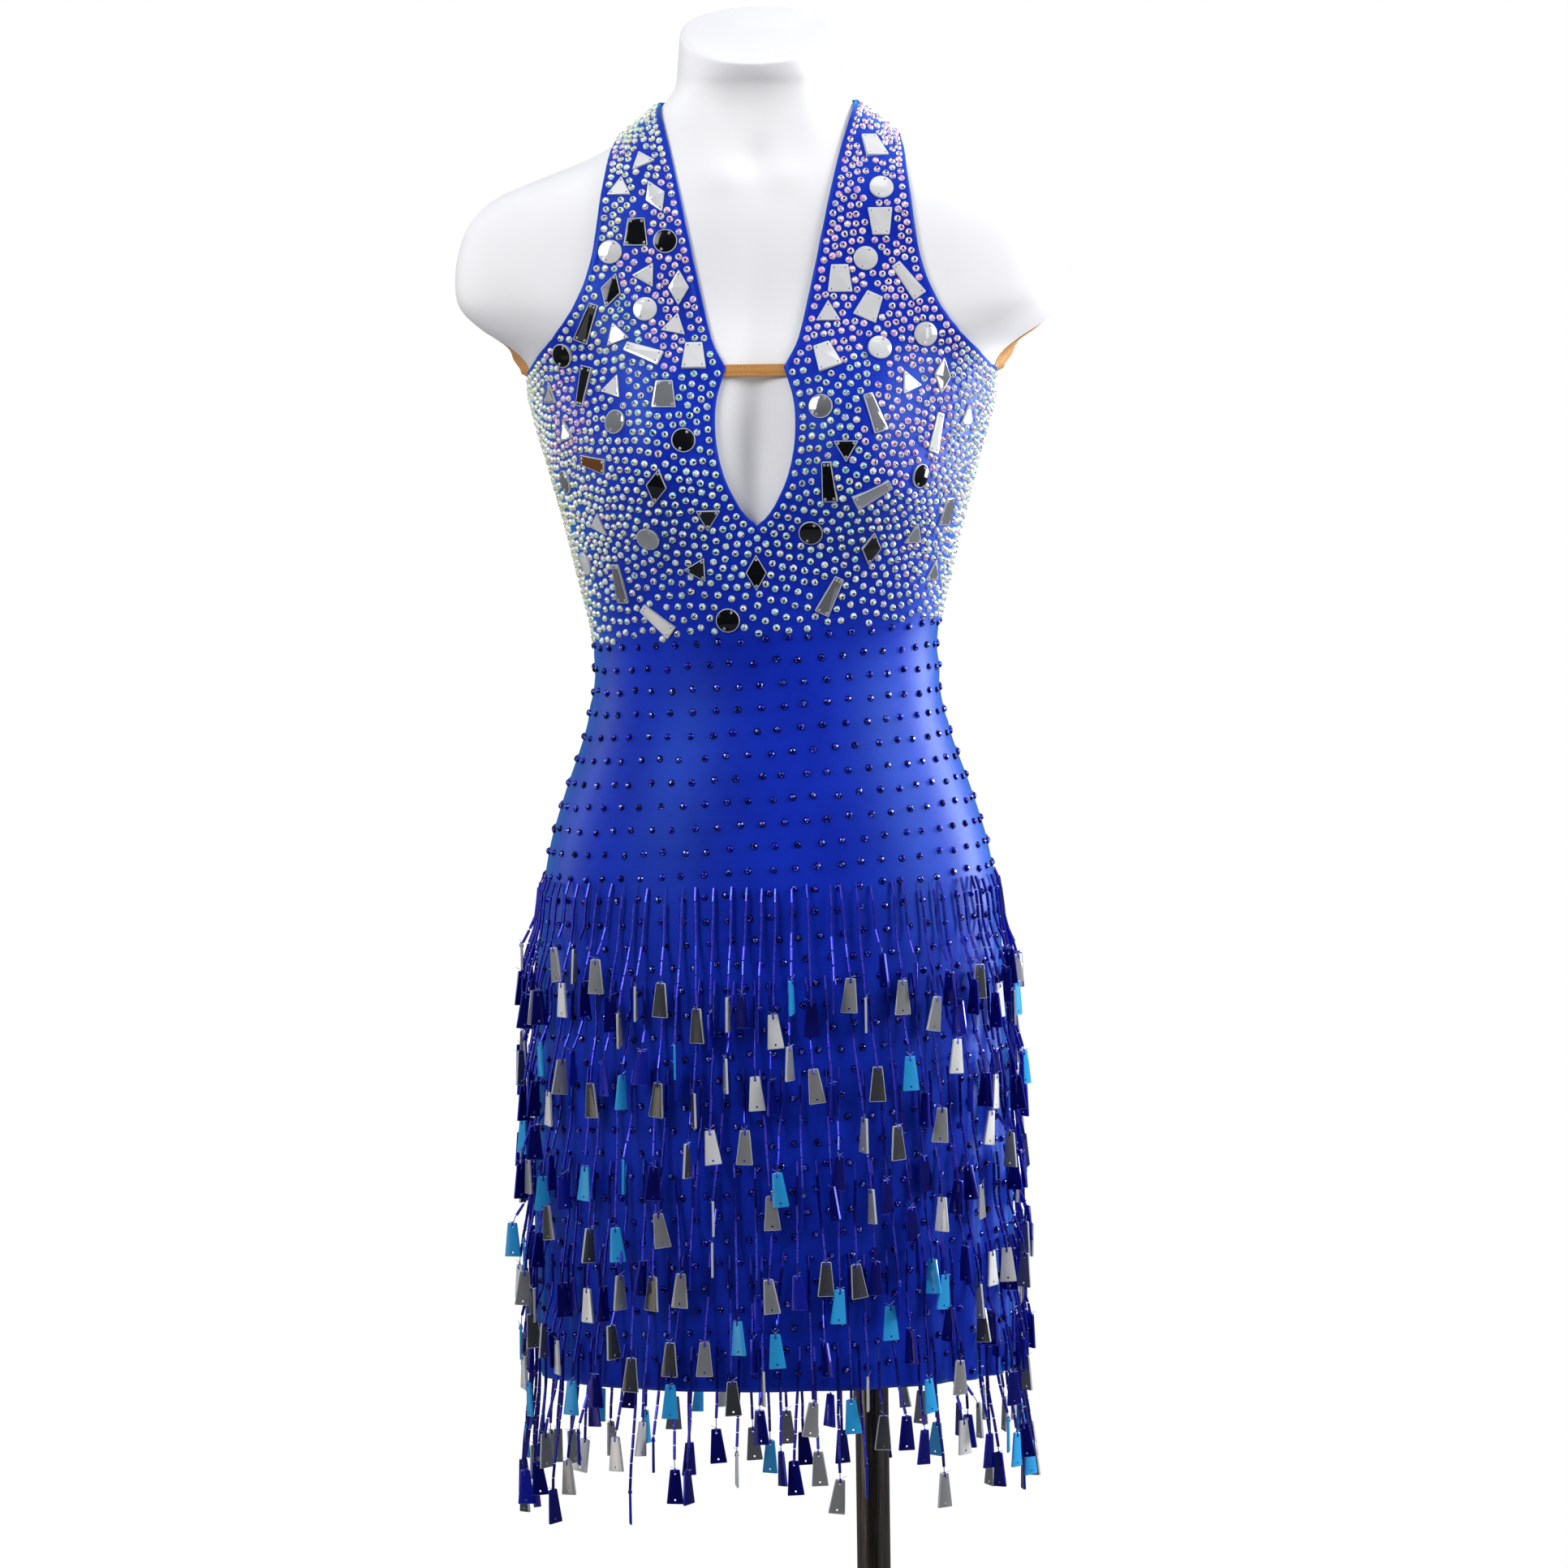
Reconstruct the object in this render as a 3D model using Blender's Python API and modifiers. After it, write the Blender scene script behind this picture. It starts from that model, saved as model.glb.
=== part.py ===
# A halter dance dress of stretch cloth with mirror tile fringe, on a limbless dress form
# with a steel stand. Metres, +Z up, the front faces -Y and +X is to the viewer's right.
# The origin is on the floor under the middle of the form.
import math
from collections import namedtuple

import bmesh
import bpy
from mathutils import Vector
from mathutils.bvhtree import BVHTree

MM = 0.001

# Stand: a round plate, a collar, a tube and the socket that it goes up into
BASE_RADIUS = 0.175
BASE_THICKNESS = 0.006
BASE_EDGE = 0.0015
COLLAR_RADIUS = 0.020
COLLAR_HEIGHT = 0.026
POLE_RADIUS = 0.011
POLE_ACROSS = 0.0625
SLIDING_GAP = 0.0003
SOCKET_RADIUS = 0.030
SOCKET_FLANGE = 0.004
SOCKET_ROOF = 0.006
SLEEVE_RADIUS = 0.017
SLEEVE_LENGTH = 0.040
TURNED_STEPS = 28

# Form: where the trunk ends below the hips, and the slanted cap on the neck
TRUNK_BOTTOM = 0.742
TRUNK_TAPER_FROM = 0.95
TRUNK_TAPER = 0.014
NECK_TOP = 1.4835
NECK_SLANT = 0.394
NECK_SLANT_FROM = 1.445
EDGE_ROUND = 0.004
FORM_SIDES = 34
THIGH_RINGS = (0.746, 0.775, 0.82, 0.865, 0.91)
BUST_RINGS = (1.17, 1.195, 1.22, 1.245)
ARM_RINGS = (1.2715, 1.2835)
SHOULDER_RANGE = (1.26, 1.446)
NECK_RING = 1.4575

# Cloth
CLEARANCE = 0.0011
BAND_CLEARANCE = 0.0016
WALL = 0.0013
SEAM_GAP = 0.0003
HEM = 0.604
COLUMNS = 11
MOST_TURN = math.radians(10.5)
SIDE_CORNER = 1.2615
BACK_LOW = 1.090
BACK_SCOOP = 0.9
BACK_SLANT_FROM = 1.03
BACK_SLANT_ROWS = 6
BAND_ROWS = 3

# Straps
STRAP_WIDTH = 0.0072
STRAP_THICKNESS = 0.0011
STRAP_STEPS = 2
STRAP_LIFT = 0.0007

# Fringe: six rows of bead strings that each end in an acrylic tile
ROW_TOP = 0.9303
ROW_PITCH = 0.0583
ROW_COUNT = 6
STRANDS_IN_ROW = 25
BACKING_HEIGHT = 0.004
BACKING_THICKNESS = 0.001
BACKING_CLEAR = 0.0014
STRING_WIDTH = 0.0018
ROOT_WIDTH = 0.0026
TILE_HEIGHT = 0.024
TILE_TOP = 0.0074
TILE_BOTTOM = 0.0123
TILE_THICKNESS = 0.0012
TILE_SHOULDER = 0.0015
TILE_LIFT = 0.0050
TILE_SWING = 0.0050
STRING_LENGTHS = (0.072, 0.050, 0.083, 0.061)
LAST_STRING_LENGTHS = (0.074, 0.100, 0.060, 0.088)
TILE_TURNS = (12, -35, 55, -8, 28, -62, 4, 40, -20)

# Bodice mirrors, sewn on: how deep they are bedded and how far they stand out
MIRROR_BED = 0.0008
MIRROR_PROUD = 0.0012
MIRROR_PROBE = 0.006

# Body line that the cloth follows, from the hem to the neck
Section = namedtuple("Section", "height half_width front back squareness")
SECTIONS = [Section(*row) for row in (
    (0.604, 0.1550, 0.118, 0.122, 2.10),
    (0.700, 0.1545, 0.118, 0.124, 2.10),
    (0.800, 0.1530, 0.117, 0.126, 2.12),
    (0.900, 0.1480, 0.114, 0.124, 2.15),
    (0.950, 0.1410, 0.108, 0.116, 2.15),
    (0.986, 0.1305, 0.102, 0.106, 2.12),
    (1.028, 0.1160, 0.094, 0.095, 2.10),
    (1.062, 0.1095, 0.089, 0.088, 2.10),
    (1.092, 0.1100, 0.088, 0.085, 2.10),
    (1.124, 0.1170, 0.092, 0.088, 2.15),
    (1.166, 0.1270, 0.096, 0.097, 2.20),
    (1.209, 0.1385, 0.098, 0.104, 2.25),
    (1.240, 0.1465, 0.099, 0.106, 2.25),
    (1.266, 0.1520, 0.097, 0.107, 2.25),
    (1.277, 0.1620, 0.093, 0.105, 2.25),
    (1.290, 0.1820, 0.088, 0.102, 2.30),
    (1.304, 0.1960, 0.084, 0.100, 2.35),
    (1.322, 0.1990, 0.080, 0.098, 2.35),
    (1.344, 0.1955, 0.076, 0.094, 2.30),
    (1.360, 0.1880, 0.073, 0.091, 2.25),
    (1.375, 0.1720, 0.069, 0.086, 2.20),
    (1.388, 0.1410, 0.065, 0.080, 2.10),
    (1.399, 0.1120, 0.061, 0.074, 2.05),
    (1.411, 0.0905, 0.058, 0.069, 2.00),
    (1.424, 0.0740, 0.056, 0.063, 2.00),
    (1.434, 0.0620, 0.055, 0.058, 2.00),
    (1.445, 0.0540, 0.056, 0.050, 2.00),
    (1.460, 0.0520, 0.059, 0.045, 2.00),
    (1.490, 0.0495, 0.062, 0.040, 2.00),
)]

# Bust: a soft mound to each side
BUST_ACROSS = 0.072
BUST_HEIGHT = 1.198
BUST_FULLNESS = 0.026
BUST_WIDTH = 0.046
BUST_ABOVE = 0.062
BUST_BELOW = 0.044
BUST_FADE = 0.35
FORM_FULLNESS = 0.92

# Edges of the front, from the centre line: height and distance across
Edge = namedtuple("Edge", "height across")
KEYHOLE = [Edge(*row) for row in (
    (1.1635, 0.0), (1.1703, 0.0078), (1.1815, 0.0150), (1.1958, 0.0214),
    (1.2127, 0.0254), (1.2290, 0.0265), (1.2430, 0.0254), (1.2540, 0.0225),
)]
NECK_EDGE = [Edge(*row) for row in (
    (1.2640, 0.0185), (1.2770, 0.0255), (1.2880, 0.0285), (1.3020, 0.0310), (1.3220, 0.0352),
    (1.3450, 0.0400), (1.3680, 0.0450), (1.3900, 0.0500), (1.4090, 0.0548), (1.4200, 0.0580),
    (1.4280, 0.0615),
)]
ARM_EDGE = [Edge(*row) for row in (
    (1.2615, 0.1480), (1.2680, 0.1450), (1.2760, 0.1390), (1.2880, 0.1280), (1.3050, 0.1160),
    (1.3280, 0.1065), (1.3500, 0.1020), (1.3720, 0.0990), (1.3900, 0.0960), (1.3990, 0.0945),
    (1.4060, 0.0925),
)]
RIDGE_INNER = 1.434
RIDGE_OUTER = 1.411
BELOW_KEYHOLE_ROWS = (0.604, 0.68, 0.76, 0.84, 0.89, 0.93, 0.96, 0.985, 1.01, 1.035,
                      1.06, 1.085, 1.11, 1.137)

# Mirrors on the bodice, viewer's left and right: millimetres across and up, degrees turned
Mirror = namedtuple("Mirror", "shape across height turn")
MIRRORS = [Mirror(*row) for row in (
    ("triangle", -74, 1398, -90), ("triangle", -89, 1380, 0), ("rhombus", -66, 1375, 25),
    ("short", -79, 1352, 0), ("circle", -60, 1346, 0), ("circle", -96, 1339, 0),
    ("triangle", -73, 1324, 90), ("rhombus", -96, 1314, -15), ("rhombus", -52, 1316, 0),
    ("long", -112, 1293, -20), ("circle", -74, 1302, 0), ("triangle", -93, 1285, 20),
    ("triangle", -55, 1291, -12), ("circle", -128, 1272, 0), ("long", -76, 1274, 70),
    ("short", -43, 1272, 0), ("long", -115, 1252, 170), ("triangle", -96, 1251, -15),
    ("triangle", -137, 1246, 0), ("short", -63, 1247, 0), ("triangle", -127, 1222, 10),
    ("circle", -95, 1229, 0), ("circle", -51, 1217, 0), ("long", -110, 1202, 80),
    ("circle", -128, 1190, 0), ("rhombus", -69, 1187, -10), ("triangle", -36, 1167, 180),
    ("triangle", -107, 1162, -20), ("circle", -75, 1153, 0), ("circle", -116, 1137, 0),
    ("triangle", -43, 1133, 90), ("long", -94, 1124, 0), ("rhombus", -5, 1131, 0),
    ("long", -70, 1100, 50), ("circle", -24, 1100, 0),
    ("short", 76, 1408, 0), ("circle", 81, 1381, 0), ("short", 80, 1359, 180),
    ("circle", 70, 1335, 0), ("short", 53, 1322, 0), ("long", 97, 1321, 35),
    ("short", 72, 1304, -25), ("triangle", 45, 1299, 0), ("circle", 108, 1286, 0),
    ("circle", 78, 1277, 0), ("short", 43, 1272, 20), ("rhombus", 118, 1259, -10),
    ("triangle", 97, 1254, 20), ("circle", 39, 1239, 0), ("long", 74, 1235, 15),
    ("triangle", 134, 1232, 0), ("long", 114, 1222, -15), ("triangle", 55, 1212, 180),
    ("short", 42, 1191, 0), ("circle", 103, 1194, 0), ("long", 72, 1182, -60),
    ("short", 120, 1171, 0), ("circle", 31, 1157, 0), ("triangle", 98, 1155, 0),
    ("rhombus", 70, 1147, 0), ("triangle", 110, 1131, 0), ("long", 43, 1116, -25),
)]
CIRCLE_RADIUS = 0.00775
CIRCLE_SIDES = 8
RHOMBUS = (0.0135, 0.0235)
TRIANGLE_SIDE = 0.0158
SHORT_TRAPEZOID = (0.0110, 0.0157, 0.0168)
LONG_TRAPEZOID = (0.0063, 0.0090, 0.0245)


def clear_scene():
    for existing in list(bpy.data.objects):
        bpy.data.objects.remove(existing, do_unlink=True)


def make_material(name, colour, roughness, metallic=0.0):
    material = bpy.data.materials.new(name)
    material.use_nodes = True
    shader = material.node_tree.nodes["Principled BSDF"]
    shader.inputs["Base Color"].default_value = (*colour, 1.0)
    shader.inputs["Roughness"].default_value = roughness
    shader.inputs["Metallic"].default_value = metallic
    return material


def add_mesh(name, bm, material, collection, smooth_angle=None):
    mesh = bpy.data.meshes.new(name)
    bm.to_mesh(mesh)
    bm.free()
    if smooth_angle is not None:
        mesh.shade_smooth()
        mesh.set_sharp_from_angle(angle=math.radians(smooth_angle))
    mesh.materials.append(material)
    piece = bpy.data.objects.new(name, mesh)
    collection.objects.link(piece)
    return piece


def smooth_value(height, column):
    """A column of SECTIONS at any height, on a cubic through its rows."""
    last = len(SECTIONS) - 1
    height = min(max(height, SECTIONS[0].height), SECTIONS[last].height)
    low = 0
    while low < last - 1 and SECTIONS[low + 1].height <= height:
        low += 1
    heights = [row.height for row in SECTIONS]
    values = [getattr(row, column) for row in SECTIONS]

    def slope(index):
        before, after = max(index - 1, 0), min(index + 1, last)
        return (values[after] - values[before]) / (heights[after] - heights[before])

    step = heights[low + 1] - heights[low]
    u = (height - heights[low]) / step
    return (values[low] * (1 + 2 * u) * (1 - u) ** 2
            + slope(low) * step * u * (1 - u) ** 2
            + values[low + 1] * u * u * (3 - 2 * u)
            + slope(low + 1) * step * u * u * (u - 1))


def bust_depth(across, height, facing):
    """How far the bust stands forward of the plain section."""
    spread = BUST_ABOVE if height > BUST_HEIGHT else BUST_BELOW
    sideways = (abs(across) - BUST_ACROSS) / BUST_WIDTH
    upright = (height - BUST_HEIGHT) / spread
    fade = min(max(facing / BUST_FADE, 0.0), 1.0)
    return BUST_FULLNESS * math.exp(-sideways ** 2 - upright ** 2) * fade * fade * (3 - 2 * fade)


def body_point(turn, height, inset=0.0, fullness=1.0):
    """A point of the body line: turn 0 is centre front, a quarter turn is the +X side."""
    level = max(height, HEM)
    power = smooth_value(level, "squareness")
    side, facing = math.sin(turn), math.cos(turn)
    reach = (abs(side) ** power + abs(facing) ** power) ** (-1.0 / power)
    depth = smooth_value(level, "front" if facing > 0 else "back") - inset
    across = (smooth_value(level, "half_width") - inset) * side * reach
    forward = depth * facing * reach + fullness * bust_depth(across, level, facing)
    return Vector((across, -forward, height))


def body_normal(turn, height):
    step = 0.002
    level = max(height, HEM + step)
    around = body_point(turn + step, level) - body_point(turn - step, level)
    upward = body_point(turn, level + step) - body_point(turn, level - step)
    return around.cross(upward).normalized()


def lifted(turn, height, lift):
    return body_point(turn, height) + body_normal(turn, height) * lift


def turn_at(across, height):
    """The turn at which the front of the section reaches this distance across."""
    power = smooth_value(height, "squareness")
    share = min(max(abs(across) / smooth_value(height, "half_width"), 1e-6), 0.9999)
    return math.copysign(math.atan((share ** -power - 1) ** (-1.0 / power)), across)


def grid_faces(bm, rows):
    for lower, upper in zip(rows, rows[1:]):
        for index in range(len(lower) - 1):
            corners = (lower[index], lower[index + 1], upper[index + 1], upper[index])
            distinct = list(dict.fromkeys(corners))
            if len(distinct) > 2:
                bm.faces.new(distinct)


def cloth_half(name, rows, material, collection, lift=CLEARANCE):
    """An open patch from rows of (turn, height), mirrored and thickened outwards."""
    bm = bmesh.new()
    lines = [[bm.verts.new(lifted(turn, height, lift)) for turn, height in row] for row in rows]
    for line in lines:
        for vertex in line:
            if abs(vertex.co.x) < 1e-5:
                vertex.co.x = 0.0
    grid_faces(bm, lines)
    piece = add_mesh(name, bm, material, collection, smooth_angle=50)
    mirror = piece.modifiers.new("Mirror", "MIRROR")
    mirror.use_axis[0] = True
    mirror.merge_threshold = 0.0001
    shell = piece.modifiers.new("Wall", "SOLIDIFY")
    shell.thickness = WALL
    shell.offset = 1.0
    return piece


def between(start, end, share):
    return start + (end - start) * share


def seam_turn(height):
    """The side seam's turn, half a seam gap short of the side."""
    return math.pi / 2 - SEAM_GAP / smooth_value(height, "half_width")


def with_rows_between(rows):
    """Adds rows so that no step from one row to the next turns far round the body."""
    filled = [rows[0]]
    for lower, upper in zip(rows, rows[1:]):
        widest = max(abs(after[0] - before[0]) for before, after in zip(lower, upper))
        steps = math.ceil(widest / MOST_TURN)
        for step in range(1, steps):
            filled.append([(between(before[0], after[0], step / steps),
                            between(before[1], after[1], step / steps))
                           for before, after in zip(lower, upper)])
        filled.append(upper)
    return filled


def front_rows():
    rows = []
    for height in BELOW_KEYHOLE_ROWS:
        side = seam_turn(height)
        rows.append([(side * k / COLUMNS, height) for k in range(COLUMNS + 1)])
    for hole in KEYHOLE:
        start, side = turn_at(hole.across, hole.height), seam_turn(hole.height)
        start = 0.0 if hole.across == 0.0 else start
        rows.append([(between(start, side, k / COLUMNS), hole.height) for k in range(COLUMNS + 1)])
    for number, (neck, arm) in enumerate(zip(NECK_EDGE, ARM_EDGE)):
        start = turn_at(neck.across, neck.height)
        end = seam_turn(arm.height) if number == 0 else turn_at(arm.across, arm.height)
        rows.append([(between(start, end, k / COLUMNS),
                      between(neck.height, arm.height, k / COLUMNS)) for k in range(COLUMNS + 1)])
    rows.append([(seam_turn(between(RIDGE_INNER, RIDGE_OUTER, k / COLUMNS)),
                  between(RIDGE_INNER, RIDGE_OUTER, k / COLUMNS)) for k in range(COLUMNS + 1)])
    return with_rows_between(rows)


def back_edge(share):
    """Height of the back's top edge: share 0 is the side corner, 1 the centre back."""
    return BACK_LOW + (SIDE_CORNER - BACK_LOW) * (1 - math.sin(share * math.pi / 2)) ** BACK_SCOOP


def back_rows():
    heights = [height for height in BELOW_KEYHOLE_ROWS if height < BACK_SLANT_FROM]
    top_start = heights[-1]
    shares = [k / BACK_SLANT_ROWS for k in range(1, BACK_SLANT_ROWS + 1)]
    rows = []
    for height in heights:
        start = math.pi - seam_turn(height)
        rows.append([(between(start, math.pi, k / COLUMNS), height) for k in range(COLUMNS + 1)])
    for share in shares:
        row = []
        for k in range(COLUMNS + 1):
            height = between(top_start, back_edge(k / COLUMNS), share)
            row.append((between(math.pi - seam_turn(height), math.pi, k / COLUMNS), height))
        rows.append(row)
    return rows


BandSection = namedtuple("BandSection", "degrees low high")
NECK_BAND = [BandSection(*row) for row in (
    (90, 1.411, 1.434), (108, 1.4125, 1.434), (126, 1.415, 1.435), (144, 1.418, 1.4365),
    (162, 1.420, 1.438), (180, 1.421, 1.4385),
)]


def neck_band_rows():
    """The back of the halter, from the shoulder seam round the back of the neck."""
    rows = []
    for k in range(BAND_ROWS + 1):
        row = []
        for section in NECK_BAND:
            height = between(section.low, section.high, k / BAND_ROWS)
            turn = max(math.radians(section.degrees), math.pi - seam_turn(height))
            row.append((turn, height))
        rows.append(row)
    return rows


def ribbon(name, route, lift, material, collection):
    """A flat strap along a route of (turn, height) on the body line."""
    bm = bmesh.new()
    centres = [lifted(turn, height, lift) for turn, height in route]
    normals = [body_normal(turn, height) for turn, height in route]
    edges = []
    for index, centre in enumerate(centres):
        before, after = centres[max(index - 1, 0)], centres[min(index + 1, len(centres) - 1)]
        sideways = normals[index].cross(after - before).normalized() * STRAP_WIDTH / 2
        edges.append([bm.verts.new(centre + sideways * side) for side in (-1, 0, 1)])
    grid_faces(bm, edges)
    bmesh.ops.recalc_face_normals(bm, faces=bm.faces[:])
    middle = bm.faces[:][len(bm.faces) // 2]
    if middle.normal.dot(normals[len(normals) // 2]) < 0:
        bmesh.ops.reverse_faces(bm, faces=bm.faces[:])
    piece = add_mesh(name, bm, material, collection, smooth_angle=50)
    shell = piece.modifiers.new("Wall", "SOLIDIFY")
    shell.thickness = STRAP_THICKNESS
    shell.offset = 1.0
    return piece


RouteStop = namedtuple("RouteStop", "degrees height")
BACK_STRAP_ROUTE = [RouteStop(*row) for row in (
    (90.6, 1.2622), (92.2, 1.2670), (95.5, 1.2755), (100, 1.285), (107, 1.297), (116, 1.312), (126, 1.331),
    (136, 1.352), (146, 1.375), (154, 1.396), (160, 1.4165),
)]
KEYHOLE_STRAP_HEIGHT = 1.2625
KEYHOLE_STRAP_HALF = 0.0178


def back_strap(side, name, material, collection):
    route = []
    for start, end in zip(BACK_STRAP_ROUTE, BACK_STRAP_ROUTE[1:]):
        for k in range(STRAP_STEPS):
            degrees = between(start.degrees, end.degrees, k / STRAP_STEPS)
            route.append((side * math.radians(degrees), between(start.height, end.height, k / STRAP_STEPS)))
    route.append((side * math.radians(BACK_STRAP_ROUTE[-1].degrees), BACK_STRAP_ROUTE[-1].height))
    return ribbon(name, route, STRAP_LIFT, material, collection)


def keyhole_strap(material, collection):
    reach = turn_at(KEYHOLE_STRAP_HALF, KEYHOLE_STRAP_HEIGHT)
    steps = 4
    route = [(reach * (2 * k / steps - 1), KEYHOLE_STRAP_HEIGHT) for k in range(steps + 1)]
    return ribbon("keyhole_strap", route, CLEARANCE, material, collection)


def mirror_outline(shape):
    """Corners of a mirror in its own plane, anticlockwise, its narrow end up."""
    if shape == "circle":
        steps = [2 * math.pi * k / CIRCLE_SIDES for k in range(CIRCLE_SIDES)]
        return [(CIRCLE_RADIUS * math.cos(a), CIRCLE_RADIUS * math.sin(a)) for a in steps]
    if shape == "rhombus":
        width, height = RHOMBUS
        return [(width / 2, 0), (0, height / 2), (-width / 2, 0), (0, -height / 2)]
    if shape == "triangle":
        reach = TRIANGLE_SIDE / math.sqrt(3)
        angles = [math.radians(90 + 120 * k) for k in range(3)]
        return [(reach * math.cos(a), reach * math.sin(a)) for a in angles]
    top, bottom, height = SHORT_TRAPEZOID if shape == "short" else LONG_TRAPEZOID
    return [(bottom / 2, -height / 2), (top / 2, height / 2),
            (-top / 2, height / 2), (-bottom / 2, -height / 2)]


def plate_corners(mirror, centre, normal):
    """The outline of a mirror, laid in the plane through its centre."""
    right = Vector((0, 0, 1)).cross(normal).normalized()
    upward = normal.cross(right)
    angle = math.radians(mirror.turn)
    corners = []
    for x, y in mirror_outline(mirror.shape):
        along = x * math.cos(angle) - y * math.sin(angle)
        above = x * math.sin(angle) + y * math.cos(angle)
        corners.append(centre + right * along + upward * above)
    return corners


def mirror_cutter(front, material, collection):
    """All the bodice mirrors as flat plates, each bedded where the cloth stands highest under it."""
    cloth = BVHTree.FromObject(front, bpy.context.evaluated_depsgraph_get())
    bm = bmesh.new()
    for mirror in MIRRORS:
        height = mirror.height * MM
        turn = turn_at(mirror.across * MM, height)
        centre = lifted(turn, height, CLEARANCE + WALL)
        normal = body_normal(turn, height)
        corners = plate_corners(mirror, centre, normal)
        probes = corners + [(corner + centre) / 2 for corner in corners] + [centre]
        rises = []
        for probe in probes:
            place = cloth.ray_cast(probe + normal * MIRROR_PROBE, -normal, 2 * MIRROR_PROBE)[0]
            if place is not None:
                rises.append((place - centre).dot(normal))
        highest = max(rises)
        rings = []
        for depth in (highest - MIRROR_BED, highest + MIRROR_PROUD):
            rings.append([bm.verts.new(corner + normal * depth) for corner in corners])
        bm.faces.new(rings[1])
        bm.faces.new(rings[0][::-1])
        for k in range(len(corners)):
            following = (k + 1) % len(corners)
            bm.faces.new((rings[0][k], rings[0][following], rings[1][following], rings[1][k]))
    cutter = add_mesh("bodice_mirrors", bm, material, collection)
    cutter.hide_render = True
    cutter.display_type = "WIRE"
    return cutter


def trunk_inset(height):
    """The form draws in from the cloth below the hips."""
    below = max(TRUNK_TAPER_FROM - height, 0.0) / (TRUNK_TAPER_FROM - TRUNK_BOTTOM)
    return TRUNK_TAPER * below ** 1.5


def form_ring(bm, height, inset=0.0):
    """One ring of the form. Up the neck the rings slant forward and down, like its cap."""
    share = min(max((height - NECK_SLANT_FROM) / (NECK_TOP - NECK_SLANT_FROM), 0.0), 1.0)
    ring = []
    for k in range(FORM_SIDES):
        turn = 2 * math.pi * k / FORM_SIDES
        point = body_point(turn, height, inset + trunk_inset(height), FORM_FULLNESS)
        point.z += NECK_SLANT * share * point.y
        ring.append(bm.verts.new(point))
    return ring


def dress_form(material, collection):
    bm = bmesh.new()
    waist = [height for height in BELOW_KEYHOLE_ROWS if height >= TRUNK_TAPER_FROM]
    bottom, top = SHOULDER_RANGE
    shoulders = sorted([row.height for row in SECTIONS if bottom < row.height < top] + list(ARM_RINGS))
    levels = [*THIGH_RINGS, *waist, *BUST_RINGS, *shoulders, NECK_RING, NECK_TOP - EDGE_ROUND]
    rings = [form_ring(bm, TRUNK_BOTTOM, inset=EDGE_ROUND)]
    rings += [form_ring(bm, height) for height in levels]
    rings.append(form_ring(bm, NECK_TOP, inset=EDGE_ROUND))
    for lower, upper in zip(rings, rings[1:]):
        grid_faces(bm, [lower + lower[:1], upper + upper[:1]])
    bm.faces.new(rings[0][::-1])
    bm.faces.new(rings[-1])
    return add_mesh("dress_form", bm, material, collection, smooth_angle=40)


def fringe_row(number, material, collection):
    """A narrow strip round the skirt with its strings, each ending in a tile."""
    top = ROW_TOP - ROW_PITCH * number
    bottom = top - BACKING_HEIGHT
    pitch = 2 * math.pi / STRANDS_IN_ROW
    start = pitch * (number % 3) / 3
    lengths = LAST_STRING_LENGTHS if number == ROW_COUNT - 1 else STRING_LENGTHS
    near = CLEARANCE + WALL + BACKING_CLEAR
    far = near + BACKING_THICKNESS
    bm = bmesh.new()
    stations = []
    for strand in range(STRANDS_IN_ROW):
        middle = start + pitch * strand
        half = ROOT_WIDTH / 2 / (body_point(middle, top).xy.length)
        for turn in (middle - half, middle + half):
            corners = ((near, top), (far, top), (far, bottom), (near, bottom))
            stations.append([bm.verts.new(lifted(turn, height, lift)) for lift, height in corners])
    for index, station in enumerate(stations):
        following = stations[(index + 1) % len(stations)]
        for first, second in ((0, 1), (1, 2), (3, 0)):
            bm.faces.new((station[first], station[second], following[second], following[first]))
        if index % 2:
            bm.faces.new((station[2], station[3], following[3], following[2]))
            continue
        strand = index // 2
        length = lengths[(strand * 3 + number) % len(lengths)]
        swing = TILE_TURNS[(strand * 2 + number * 4) % len(TILE_TURNS)]
        hang_strand(bm, (station, following), start + pitch * strand, bottom, length, swing)
    bmesh.ops.recalc_face_normals(bm, faces=bm.faces[:])
    return add_mesh("fringe_row_%d" % (number + 1), bm, material, collection)


Level = namedtuple("Level", "drop width depth")


def hang_strand(bm, roots, turn, top, length, swing):
    """One bead string and its tile, lofted down from the strip's bottom face."""
    left, right = roots
    angle = math.radians(swing)
    lift = CLEARANCE + WALL + TILE_LIFT + TILE_SWING * abs(math.sin(angle))
    outward = body_normal(turn, top - length)
    outward = Vector((outward.x, outward.y, 0)).normalized()
    along = Vector((0, 0, 1)).cross(outward)
    wide = along * math.cos(angle) + outward * math.sin(angle)
    deep = outward * math.cos(angle) - along * math.sin(angle)
    foot = lifted(turn, top - length, lift)
    levels = (
        Level(0.0, STRING_WIDTH, STRING_WIDTH),
        Level(TILE_SHOULDER, TILE_TOP, TILE_THICKNESS),
        Level(TILE_SHOULDER + TILE_HEIGHT, TILE_BOTTOM, TILE_THICKNESS),
    )
    previous = [left[3], left[2], right[2], right[3]]
    for level in levels:
        centre = Vector((foot.x, foot.y, top - length - level.drop))
        corners = ((-1, -1), (-1, 1), (1, 1), (1, -1))
        ring = [bm.verts.new(centre + wide * level.width / 2 * w + deep * level.depth / 2 * d)
                for w, d in corners]
        grid_faces(bm, [previous + previous[:1], ring + ring[:1]])
        previous = ring
    bm.faces.new(previous)


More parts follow.
